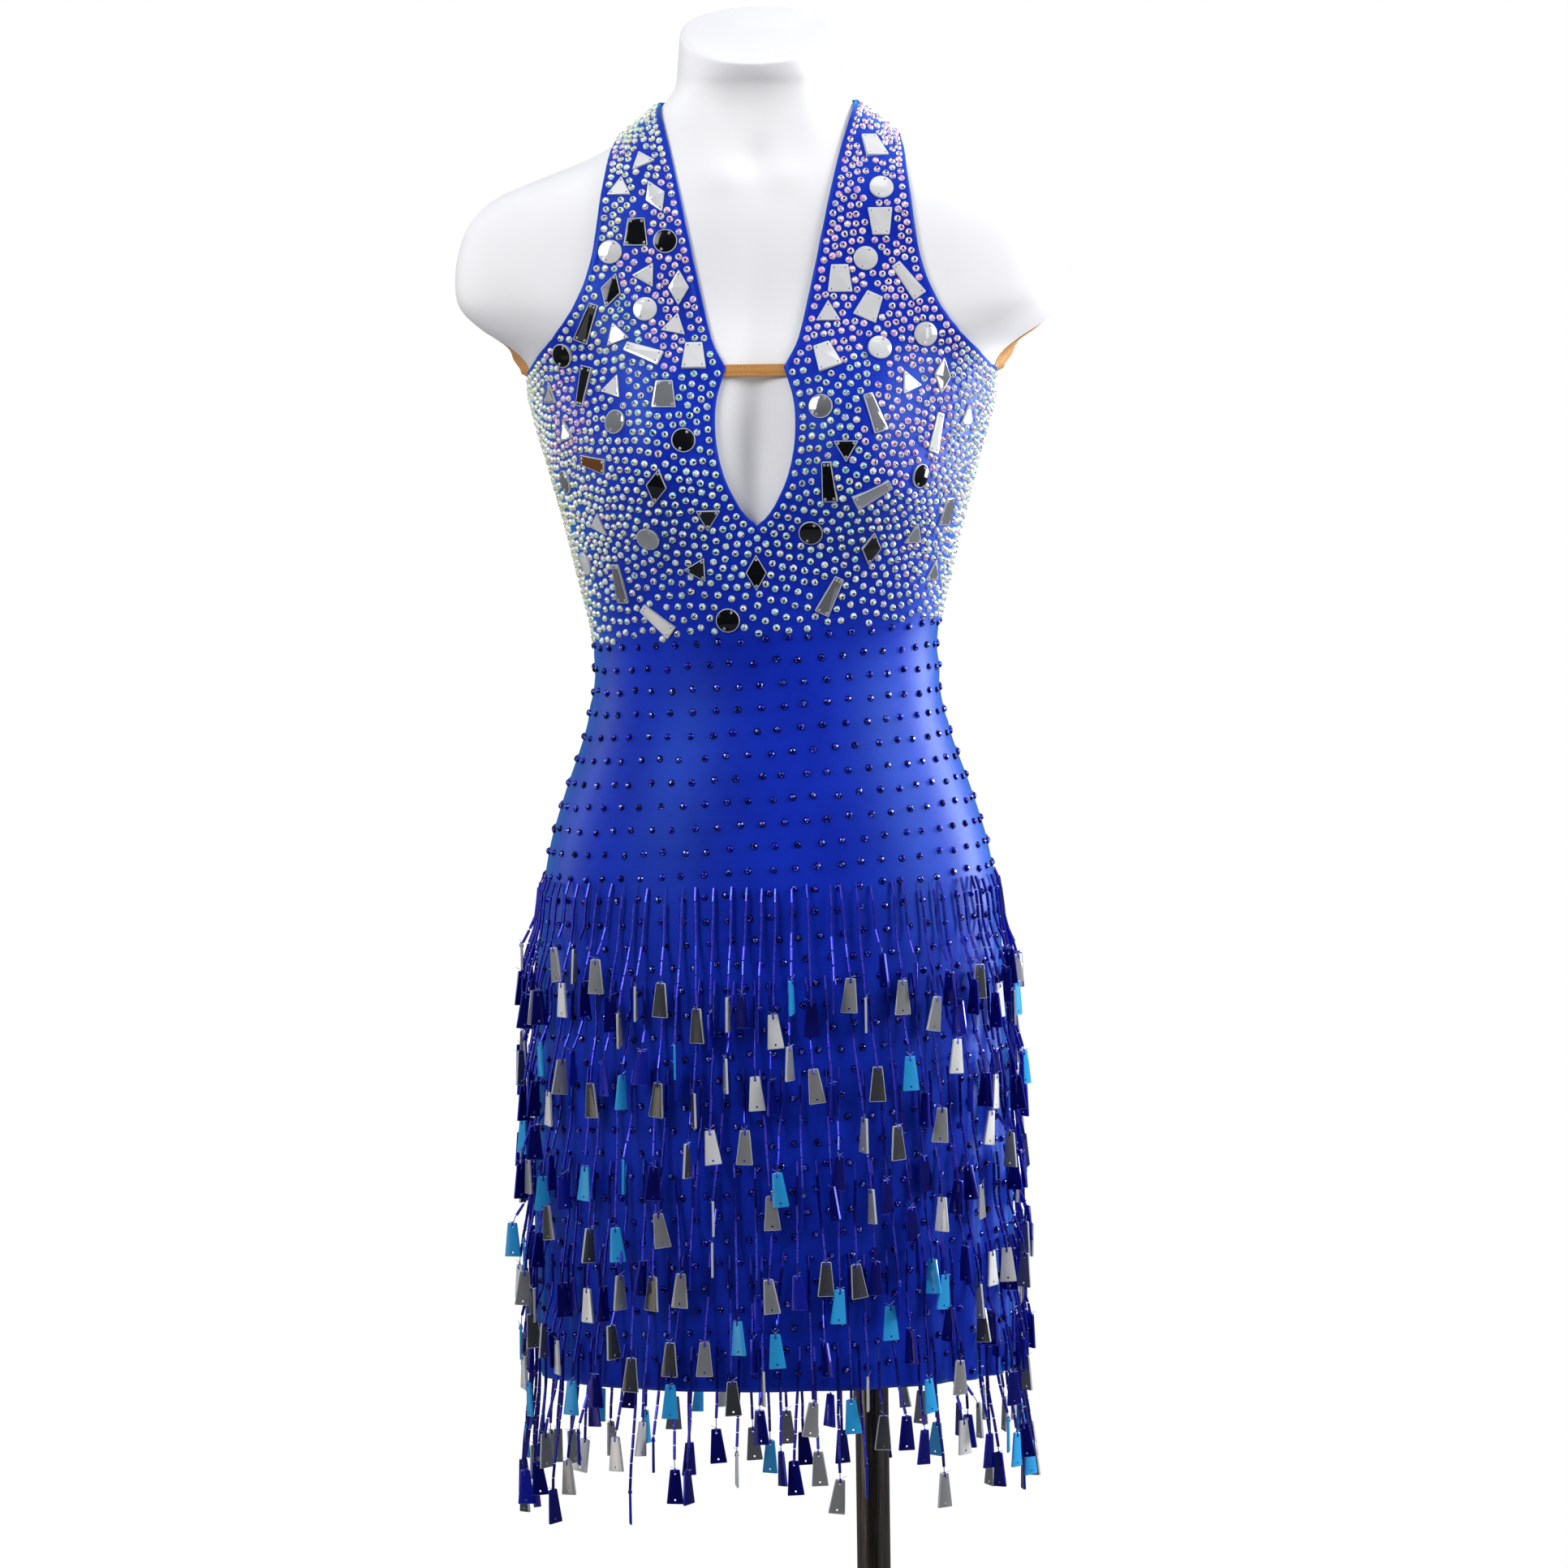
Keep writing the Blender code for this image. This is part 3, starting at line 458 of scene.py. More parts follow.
def clothShell(name, turns, heights, edges, material, lift, seamColumn=None):
    base = bodyPoint(turns, heights)
    rise = lift - dress["thickness"] + foldRise(turns, heights) + edgeRise(edgeDistance(edges, base))
    if seamColumn is not None:  # the side seam is drawn in a little
        rise[:, seamColumn] -= 0.35 * mm
    right = base + bodyNormal(turns, heights) * rise[..., None]
    mirrored = clothMirrored(turns, heights, edges, lift, seamColumn)
    shapes = [gridShape(right), gridShape(mirrored[:, ::-1])]
    piece = joinedMesh(name, shapes, [material], 60)
    across = np.sin(turns) * 0 + turns * foldRadius
    uv = np.stack([across, heights], -1).reshape(-1, 2)
    back = np.stack([-across, heights], -1)[:, ::-1].reshape(-1, 2)
    addUv(piece, np.concatenate([uv, back]))
    area = sum(face.area for face in piece.data.polygons)
    weld = piece.modifiers.new("Join halves", "WELD")
    weld.merge_threshold = 0.00005
    shell = piece.modifiers.new("Cloth", "SOLIDIFY")
    shell.thickness = dress["thickness"]
    shell.offset = 1.0
    return piece, area


def clothMirrored(turns, heights, edges, lift, seamColumn):
    base = bodyPoint(-turns, heights)
    rise = lift - dress["thickness"] + foldRise(-turns, heights) + edgeRise(edgeDistance(edges, base))
    if seamColumn is not None:
        rise[:, seamColumn] -= 0.35 * mm
    return base + bodyNormal(-turns, heights) * rise[..., None]


print("cloth")
satinKnit = makeSatinKnit()
fineRows = np.array(frontRows(0.0008))
holeRows = fineRows[fineRows[:, 1] >= keyhole[0].height]
armRows = fineRows[fineRows[:, 3] >= dress["sideCorner"] - 0.0005]
hemTurns = np.linspace(-math.pi, math.pi, 2400)
hemLine = bodyPoint(hemTurns, np.full(len(hemTurns), dress["hem"]))
innerEdge = bothSides(bodyPoint(holeRows[:, 0], holeRows[:, 1]))
armhole = bothSides(bodyPoint(armRows[:, 2], armRows[:, 3]))
backShares = np.linspace(0, 1, 500)
backTop = backEdge(backShares)
backSide = math.pi - seamTurn(backTop)
backLine = bothSides(bodyPoint(backSide + (math.pi - backSide) * backShares, backTop))
frontEdges = edgeTree([innerEdge, armhole, hemLine])
backEdges = edgeTree([backLine, hemLine])
bandTurns, bandHeights = bandGrid(0.0016, 70)
bandEdges = edgeTree([bothSides(bodyPoint(bandTurns[row], bandHeights[row])) for row in (0, -1)])

frontTurns, frontHeights = frontGrid(dress["gridStep"], dress["columns"])
backTurns, backHeights = backGrid(dress["gridStep"], dress["columns"])
frontCloth, frontArea = clothShell("front_cloth", frontTurns, frontHeights, frontEdges, satinKnit, outerLift)
backCloth, backArea = clothShell("back_cloth", backTurns, backHeights, backEdges, satinKnit, outerLift, 0)
bandLift = dress["bandClearance"] + dress["wall"]
bandCloth, bandArea = clothShell("neck_band_cloth", bandTurns, bandHeights, bandEdges, satinKnit, bandLift)
finishPiece(frontCloth, "blue_cloth", "front_panel")
finishPiece(backCloth, "blue_cloth", "back_panel")
finishPiece(bandCloth, "blue_cloth", "neck_band")
print("cloth areas, square metres:", round(frontArea, 4), round(backArea, 4), round(bandArea, 4))


# Dress form

# Glass fibre shell, sprayed with matt white lacquer: a soft even shade with a very fine orange peel
def makeFormLacquer():
    lacquer = {"base": "#F3F3F4", "shade": "#E9E9EB", "peel": 1.6 * mm, "patch": 90 * mm}
    material, tree, shader = newMaterial("mattLacquerShell", {"Roughness": 0.52, "IOR": 1.46})
    place = addNode(tree, "TexCoord")
    peel = addNode(tree, "TexNoise", {"Scale": 1 / lacquer["peel"], "Detail": 2.0}, {"Vector": (place, "Object")})
    patch = addNode(tree, "TexNoise", {"Scale": 1 / lacquer["patch"], "Detail": 2.0}, {"Vector": (place, "Object")})
    colour = addNode(tree, "ValToRGB", None, {"Fac": (patch, "Fac")}, [(0.3, lacquer["shade"]), (0.7, lacquer["base"])])
    bump = addNode(tree, "Bump", {"Strength": 0.06, "Distance": 0.2 * mm}, {"Height": (peel, "Fac")})
    joinShader(tree, shader, {"Base Color": (colour, "Color"), "Normal": (bump, "Normal")})
    return material


form = {"bottom": 0.742, "taperFrom": 0.95, "taper": 0.014, "neckTop": 1.4835, "neckSlant": 0.394,
        "slantFrom": 1.445, "edgeRound": 0.004, "sides": 180, "step": 0.005, "roundSteps": 5}
# Collar bone ends, the notch between them, the throat and the line down the breastbone, metres and mm of rise
Hollow = namedtuple("Hollow", "across height width tall rise")
throat = [Hollow(*row) for row in (
    (-0.0205, 1.3855, 0.0120, 0.0100, 2.0), (0.0205, 1.3865, 0.0120, 0.0100, 2.0),
    (0.0, 1.398, 0.0100, 0.0120, -3.6), (0.0, 1.432, 0.0220, 0.0300, -3.2),
    (-0.034, 1.425, 0.0100, 0.0300, 1.6), (0.034, 1.425, 0.0100, 0.0300, 1.6),
    (0.0, 1.300, 0.0110, 0.0500, -2.2), (0.0, 1.215, 0.0140, 0.0500, -9.5),
)]


def formRing(height, inset):
    turns = 2 * math.pi * np.arange(form["sides"]) / form["sides"]
    below = max(form["taperFrom"] - height, 0) / (form["taperFrom"] - form["bottom"])
    points = bodyPoint(turns, np.full(len(turns), height), inset + form["taper"] * below ** 1.5, bust["formFullness"])
    front = np.clip(np.cos(turns), 0, 1)[:, None] ** 0.5
    for hollow in throat:
        off = ((points[:, 0] - hollow.across) / hollow.width) ** 2 + ((height - hollow.height) / hollow.tall) ** 2
        points += bodyNormal(turns, np.full(len(turns), height)) * front * (hollow.rise * mm * np.exp(-off))[:, None]
    share = min(max((height - form["slantFrom"]) / (form["neckTop"] - form["slantFrom"]), 0), 1)
    points[:, 2] += form["neckSlant"] * share * points[:, 1]
    return points


def makeForm():
    edge = form["edgeRound"]
    arcs = [quarter * k / form["roundSteps"] for k in range(form["roundSteps"] + 1)]
    low, high = form["bottom"] + edge, form["neckTop"] - edge
    rings = [formRing(form["bottom"] + edge * (1 - math.sin(a)), edge * (1 - math.cos(a))) for a in arcs[::-1]]
    rings += [formRing(height, 0) for height in np.linspace(low, high, math.ceil((high - low) / form["step"]))[1:-1]]
    rings += [formRing(high + edge * math.sin(a), edge * (1 - math.cos(a))) for a in arcs]
    rings = np.array(rings)
    body = gridShape(rings, closed=True)
    sides, last = form["sides"], (len(rings) - 1) * form["sides"]
    caps = [tuple(range(sides))[::-1], tuple(range(last, last + sides))]
    return Shape(body.points, body.faces + caps, body.slots + [0, 0], body.smooth + [False, False])


print("dress form")
formPiece = joinedMesh("form_shell", [makeForm()], [makeFormLacquer()], 50)
finishPiece(formPiece, "form_shell", "dress_form")


# Stand

# Stainless tube and plate, ground and polished: mirror bright with faint lines along the grind
def makePolishedSteel():
    steel = {"light": "#8F8A82", "dark": "#6F6A63", "line": 0.8 * mm}
    material, tree, shader = newMaterial("polishedStainless", {"Metallic": 1.0, "Anisotropic": 0.3})
    place = addNode(tree, "TexCoord")
    stretch = addNode(tree, "Mapping", {"Scale": (1, 1, 0.03)}, {"Vector": (place, "Object")})
    lines = addNode(tree, "TexNoise", {"Scale": 1 / steel["line"], "Detail": 3.0}, {"Vector": (stretch, "Vector")})
    colour = addNode(tree, "ValToRGB", None, {"Fac": (lines, "Fac")}, [(0.35, steel["dark"]), (0.7, steel["light"])])
    rough = addNode(tree, "MapRange", {"To Min": 0.08, "To Max": 0.2}, {"Value": (lines, "Fac")})
    joinShader(tree, shader, {"Base Color": (colour, "Color"), "Roughness": (rough, "Result")})
    return material


stand = {"baseRadius": 0.175, "baseThickness": 0.006, "edge": 0.0015, "collarRadius": 0.020,
         "collarHeight": 0.026, "poleRadius": 0.011, "across": 0.0625, "gap": 0.0003,
         "socketRadius": 0.030, "flange": 0.004, "roof": 0.006, "sleeveRadius": 0.017,
         "sleeveLength": 0.040, "sides": 96}


def turnedPiece(name, node, profile, centre, material, closed=False):  # (radius, height) down the outer side
    sides = stand["sides"]
    angles = 2 * math.pi * np.arange(sides) / sides
    rounded = profile + profile[:1] if closed else profile
    rings = [np.stack([r * np.cos(angles), r * np.sin(angles), np.full(sides, z)], -1) + centre for r, z in rounded]
    shape = gridShape(np.array(rings)[::-1], closed=True)
    piece = joinedMesh(name, [shape], [material], 35)
    weld = piece.modifiers.new("Close", "WELD")
    weld.merge_threshold = 0.00001
    return finishPiece(piece, "stand_steel", node)


def makeStand():
    steel = makePolishedSteel()
    foot, edge, gap = stand["baseThickness"], stand["edge"], stand["gap"]
    radius, pole = stand["baseRadius"], stand["poleRadius"]
    turnedPiece("steel_base", "base_plate", [
        (0, foot), (radius - edge, foot), (radius - edge * 0.3, foot - edge * 0.3), (radius, foot - edge),
        (radius, edge), (radius - edge, 0), (0, 0)], (0, 0, 0), steel)
    bore, collar = pole + gap, stand["collarRadius"]
    turnedPiece("steel_collar", "base_collar", [
        (bore, stand["collarHeight"]), (collar - edge, stand["collarHeight"]),
        (collar, stand["collarHeight"] - edge), (collar, 0), (bore, 0)],
        (stand["across"], 0, foot + gap), steel, closed=True)
    socketTop = form["bottom"] - gap
    sleeve, flange, roof = stand["sleeveRadius"], stand["flange"], stand["roof"]
    turnedPiece("steel_socket", "pole_socket", [
        (0, 0), (stand["socketRadius"], 0), (stand["socketRadius"], -flange), (sleeve, -flange),
        (sleeve, -stand["sleeveLength"]), (bore, -stand["sleeveLength"]), (bore, -roof), (0, -roof)],
        (stand["across"], 0, socketTop), steel)
    top = socketTop - roof - gap
    turnedPiece("steel_pole", "stand_pole", [
        (0, top), (pole, top), (pole, foot + gap), (0, foot + gap)], (stand["across"], 0, 0), steel)


print("stand")
makeStand()


# Straps

# Woven elastic, dyed tan: a fine crosswise rib with a dull silky face. Ribs are 0.7 mm apart
def makeTanElastic():
    elastic = {"dark": "#A96C28", "light": "#CF9447", "rib": 0.7 * mm}
    material, tree, shader = newMaterial("tanWovenElastic", {"Roughness": 0.55, "Sheen Weight": 0.2})
    uv = addNode(tree, "UVMap", {"uv_map": "clothMetres"})
    ribs = addNode(tree, "TexWave", {"bands_direction": "Y", "Scale": 0.314 / elastic["rib"], "Distortion": 0.5},
                   {"Vector": (uv, "UV")})
    # The colour darkens in the grooves between the ribs, a painted shade of the relief that the bump draws
    colour = addNode(tree, "ValToRGB", None, {"Fac": (ribs, "Fac")}, [(0.1, elastic["dark"]), (0.8, elastic["light"])])
    bump = addNode(tree, "Bump", {"Strength": 0.4, "Distance": 0.15 * mm}, {"Height": (ribs, "Fac")})
    joinShader(tree, shader, {"Base Color": (colour, "Color"), "Normal": (bump, "Normal")})
    return material


# Polyester sewing thread: twisted, with a dull shine and a slightly uneven shade
def makeThread(name, dark, light):
    material, tree, shader = newMaterial(name, {"Roughness": 0.6})
    place = addNode(tree, "TexCoord")
    twist = addNode(tree, "TexNoise", {"Scale": 1 / (1.5 * mm), "Detail": 1.0}, {"Vector": (place, "Object")})
    colour = addNode(tree, "ValToRGB", None, {"Fac": (twist, "Fac")}, [(0.3, dark), (0.7, light)])
    joinShader(tree, shader, {"Base Color": (colour, "Color")})
    return material


strap = {"width": 0.0072, "thickness": 0.0009, "lift": 0.0005, "step": 0.004, "stitch": 0.0021,
         "stitchPitch": 0.0031, "stitchAt": 0.62, "stitchRadius": 0.00022, "twist": math.radians(52)}
RouteStop = namedtuple("RouteStop", "degrees height")
backStrapRoute = [RouteStop(*row) for row in (
    (87.0, 1.2545), (90.6, 1.2622), (92.2, 1.2670), (95.5, 1.2755), (100, 1.285), (107, 1.297), (116, 1.312),
    (126, 1.331), (136, 1.352), (146, 1.375), (154, 1.396), (160, 1.4165), (161.5, 1.4235),
)]
keyholeStrap = {"height": 1.2625, "half": 0.0240}


def strapLines(turns, heights):
    centres = bodyPoint(turns, heights)
    normals = bodyNormal(turns, heights)
    ahead = np.gradient(centres, axis=0)
    sideways = np.cross(normals, ahead)
    sideways /= np.linalg.norm(sideways, axis=-1, keepdims=True)
    lengths = np.concatenate([[0], np.cumsum(np.linalg.norm(np.diff(centres, axis=0), axis=1))])
    return centres, normals, sideways, lengths


def makeStrap(name, node, turns, heights, elastic, thread):
    centres, normals, sideways, lengths = strapLines(turns, heights)
    degrees = np.degrees(np.abs(turns))  # under the arm each back strap twists so that its face looks forward
    twist = strap["twist"] * eased((degrees - 90.2) / 1.0) * (1 - eased((degrees - 94.5) / 4))
    forward = np.sign(sideways @ (0, -1, 0))[:, None]
    lean = (forward * sideways, normals)
    centres = centres + normals * (np.sin(twist) * strap["width"] / 2)[:, None]
    normals = lean[1] * np.cos(twist)[:, None] + lean[0] * np.sin(twist)[:, None]
    sideways = forward * (lean[0] * np.cos(twist)[:, None] - lean[1] * np.sin(twist)[:, None])
    shares = np.array([-1, -0.93, -0.7, -0.62, -0.54, 0, 0.54, 0.62, 0.7, 0.93, 1])
    rises = np.array([-0.12, 0, 0, -0.09, 0, 0.05, 0, -0.09, 0, 0, -0.12]) * mm
    half = strap["width"] / 2
    grid = (centres[:, None] + sideways[:, None] * (shares * half)[None, :, None]
            + normals[:, None] * (strap["lift"] + rises)[None, :, None])
    if np.dot(np.cross(grid[0, 1] - grid[0, 0], grid[1, 0] - grid[0, 0]), normals[0]) < 0:
        grid = grid[:, ::-1]
    piece = joinedMesh(name, [gridShape(grid)], [elastic], 60)
    uv = np.stack(np.broadcast_arrays(shares * half, lengths[:, None]), -1)
    addUv(piece, uv.reshape(-1, 2))
    shell = piece.modifiers.new("Webbing", "SOLIDIFY")
    shell.thickness = strap["thickness"]
    shell.offset = 1.0
    finishPiece(piece, "tan_elastic", node)
    rods = []
    for side in (-1, 1):
        outer = centres + sideways * side * strap["stitchAt"] * half + normals * (strap["lift"] + strap["thickness"])
        for start in np.arange(strap["stitchPitch"], lengths[-1] - strap["stitch"], strap["stitchPitch"]):
            spots = [start, start + strap["stitch"] / 2, start + strap["stitch"]]
            rods.append(tubeShape(np.stack([np.interp(spots, lengths, outer[:, k]) for k in range(3)], -1),
                                  strap["stitchRadius"], 5, 0))
    stitches = joinedMesh(name + "_stitches", rods, [thread])
    finishPiece(stitches, "tan_elastic")
    return piece


def makeStraps():
    elastic = makeTanElastic()
    thread = makeThread("tanThread", "#C08A48", "#E3BC7C")
    route = np.array(curveThrough([(math.radians(stop.degrees) * foldRadius, stop.height)
                                   for stop in backStrapRoute], strap["step"]))
    for side, name in ((-1, "left"), (1, "right")):
        makeStrap("tan_strap_" + name, "back_strap_" + name, side * route[:, 0] / foldRadius, route[:, 1],
                  elastic, thread)
    reach = float(turnAt(keyholeStrap["half"], keyholeStrap["height"]))
    turns = np.linspace(-reach, reach, 15)
    makeStrap("tan_keyhole_strap", "keyhole_strap", turns, np.full(15, keyholeStrap["height"]), elastic, thread)


print("straps")
makeStraps()


# Cut stones

# Foiled cut glass with an iridescent coat. On the stones each facet takes one tint: the pale tints are partly
# the coat's own colours and partly painted reflection, and the nearly black tint is a painted reflection of the dark
# side of the room
def makeFacetGlass(name, hexText, metallic=0.12, roughness=0.14, coat=0.5):
    material, tree, shader = newMaterial(name, {"Metallic": metallic, "Coat Weight": coat, "Coat Roughness": 0.04})
    place = addNode(tree, "TexCoord")
    film = addNode(tree, "TexNoise", {"Scale": 1 / (2.2 * mm), "Detail": 1.0}, {"Vector": (place, "Object")})
    colour = linearColour(hexText)
    shift = addNode(tree, "HueSaturation", {"Color": colour, "Saturation": 1.0})
    hue = addNode(tree, "MapRange", {"To Min": 0.47, "To Max": 0.53}, {"Value": (film, "Fac")})
    tree.links.new(hue.outputs["Result"], shift.inputs["Hue"])
    rough = addNode(tree, "MapRange", {"To Min": roughness * 0.7, "To Max": roughness * 1.4}, {"Value": (film, "Fac")})
    joinShader(tree, shader, {"Base Color": (shift, "Color"), "Roughness": (rough, "Result")})
    return material


# Facet tints of the clear stones: the pale ones are partly the coat's colours and partly painted reflection, and the
# near-black one is a painted reflection of the dark side of the room
clearTints = (("White", "#F9FAF7"), ("Ice", "#A2E4DB"), ("Lemon", "#EAEC9E"), ("Rose", "#F79CC8"),
              ("Violet", "#A892F0"), ("Teal", "#3E9F9B"), ("DarkReflection", "#10181E"))
# Facet tints of the dark stones: Ink is their own near-black and, heavier on the girdle, painted shade; Glint is a
# painted highlight
darkTints = (("Ink", "#070A2A"), ("Sapphire", "#2230C4"), ("Plum", "#3426A8"), ("Glint", "#8F97FF"))
# How often each tint shows on a stone with warm, rosy or cool painted glints, or with a painted dark reflection
paintedGlintMixes = np.array([
    (0.38, 0.16, 0.30, 0.05, 0.02, 0.02, 0.07),
    (0.35, 0.06, 0.06, 0.29, 0.14, 0.01, 0.09),
    (0.36, 0.20, 0.10, 0.10, 0.08, 0.06, 0.10),
    (0.22, 0.24, 0.15, 0.05, 0.05, 0.13, 0.16),
])
darkMood = np.array([0.44, 0.32, 0.12, 0.12])
# The same for a stone's table, crown and girdle facets, all painted reflection: clear stones get a dark star in the
# middle and a pale rim, dark stones a painted glint on the table and painted shade on the girdle
clearParts = np.array([(0.5, 0.8, 0.3, 0.7, 1.2, 2.0, 7.0), (1, 1, 1, 1, 1, 1, 1.1), (1.7, 1, 1, 1, 0.8, 0.3, 0.1)])
darkParts = np.array([(0.6, 1, 1, 3.5), (0.9, 1.2, 1, 0.8), (1.6, 0.7, 0.7, 0.3)])
stones = {"clearRadius": 2.35 * mm, "clearHeight": 1.9 * mm, "clearPitch": 5.5 * mm, "loosePitch": 7.1 * mm, "edgeRoom": 4.3 * mm,
          "mirrorRoom": 2.7 * mm, "lowest": 1.0945, "candidateStep": 1.25 * mm, "jitter": 0.25 * mm,
          "darkRadius": 2.5 * mm, "darkHeight": 1.9 * mm, "darkPitch": 14.3 * mm, "darkRow": 14.7 * mm,
          "darkTilt": 0.066, "darkJitter": 0.9 * mm, "seed": 11}


def stoneShape(radius, height):  # table, crown and girdle facets, eight of each
    angles = 2 * math.pi * np.arange(8) / 8
    rings = []
    for share, rise, shift in ((0.36, 1.0, 0), (0.76, 0.62, 0.5), (1.0, -0.08, 0)):
        turned = angles + shift * math.pi / 4
        rings.append(np.stack([radius * share * np.cos(turned), radius * share * np.sin(turned),
                               np.full(8, height * rise)], -1))
    faces = [tuple(range(8))]
    for ring in (0, 1):
        for k in range(8):
            inner, innerNext = ring * 8 + k, ring * 8 + (k + 1) % 8
            outer, outerNext = ring * 8 + 8 + k, ring * 8 + 8 + (k + 1) % 8
            if ring == 0:
                faces += [(inner, outer, innerNext), (innerNext, outer, outerNext)]
            else:
                faces += [(inner, outerNext, innerNext), (inner, outer, outerNext)]
    return Shape(np.concatenate(rings), faces, [0] * len(faces), [False] * len(faces))


def stoneField(name, shape, centres, normals, weights, parts, materials, rng, slot):  # one joined mesh of many stones
    count = len(centres)
    right = np.cross(np.broadcast_to((0.0, 0.0, 1.0), normals.shape), normals)
    right /= np.linalg.norm(right, axis=1, keepdims=True)
    above = np.cross(normals, right)
    spin = rng.uniform(0, 2 * math.pi, count)[:, None]
    first = right * np.cos(spin) + above * np.sin(spin)
    second = -right * np.sin(spin) + above * np.cos(spin)
    size = rng.uniform(0.95, 1.05, count)[:, None, None]
    local = shape.points[None] * size
    points = (centres[:, None] + local[..., :1] * first[:, None] + local[..., 1:2] * second[:, None]
              + local[..., 2:] * normals[:, None])
    offsets = np.arange(count) * len(shape.points)
    faces = [[corner + int(offset) for corner in face] for offset in offsets for face in shape.faces]
    facets = len(shape.faces)
    draw = rng.random((count, facets))
    ring = np.array([0] + [1] * 16 + [2] * 16)
    chances = weights[:, None, :] * parts[ring][None]
    limits = np.cumsum(chances / chances.sum(-1, keepdims=True), axis=-1)
    slots = (draw[..., None] > limits).sum(-1).clip(0, weights.shape[1] - 1)
    joined = Shape(points.reshape(-1, 3), faces, slots.ravel().tolist(), [False] * (count * facets))
    return finishPiece(joinedMesh(name, [joined], materials), slot)


def spreadOut(points, order, pitches):  # keeps each point that is at least its pitch from those kept
    cells, kept, widest = {}, [], float(max(pitches))

    def fits(point, pitch):
        home = tuple(int(math.floor(c / widest)) for c in point)
        for i in (-1, 0, 1):
            for j in (-1, 0, 1):
                for k in (-1, 0, 1):
                    for other in cells.get((home[0] + i, home[1] + j, home[2] + k), ()):
                        if (other[0] - point[0]) ** 2 + (other[1] - point[1]) ** 2 + (other[2] - point[2]) ** 2 < pitch ** 2:
                            return False
        cells.setdefault(home, []).append(point)
        return True

    listed = points.tolist()
    for k in order:
        if fits(listed[k], pitches[k]):
            kept.append(k)
    return np.array(kept)


# How the photo sees the part: its frame is 1932 pixels wide
photo = {"metresPerPixel": 0.00053, "middlePixel": 966, "aimAcross": 0.0105, "aimHeight": 0.9915, "turn": 2.5,
         "tip": 3.8, "lean": 0.8, "top": 1.5053, "centreAtTop": 928.1, "drift": 18 / 960}


def seenAt(point):  # pixels of a place on the photo, for one that stands near the middle of the part
    turned, tipped, lean = (math.radians(photo[key]) for key in ("turn", "tip", "lean"))
    across = (point[0] - photo["aimAcross"]) * math.cos(turned) + point[1] * math.sin(turned)
    away = point[1] * math.cos(turned) - point[0] * math.sin(turned)
    up = (point[2] - photo["aimHeight"]) * math.cos(tipped) + away * math.sin(tipped)
    scale = (1 - away / 5) / photo["metresPerPixel"]
    return (photo["middlePixel"] + (across * math.cos(lean) - up * math.sin(lean)) * scale,
            photo["middlePixel"] - (up * math.cos(lean) + across * math.sin(lean)) * scale)


def placeSeen(across, height):  # the cloth's turn and height where a thing is seen that was measured on the photo
    pixelY = (photo["top"] - height) / photo["metresPerPixel"]
    pixelX = photo["centreAtTop"] + photo["drift"] * pixelY + across / photo["metresPerPixel"]
    for _ in range(6):
        spot = seenAt(clothPoint(turnAt(across, height), height))
        limit = 0.985 * float(sectionValue(height, "halfWidth"))
        across = float(np.clip(across + 0.8 * (pixelX - spot[0]) * photo["metresPerPixel"], -limit, limit))
        height = float(height - 0.8 * (pixelY - spot[1]) * photo["metresPerPixel"])
    return float(turnAt(across, height)), height


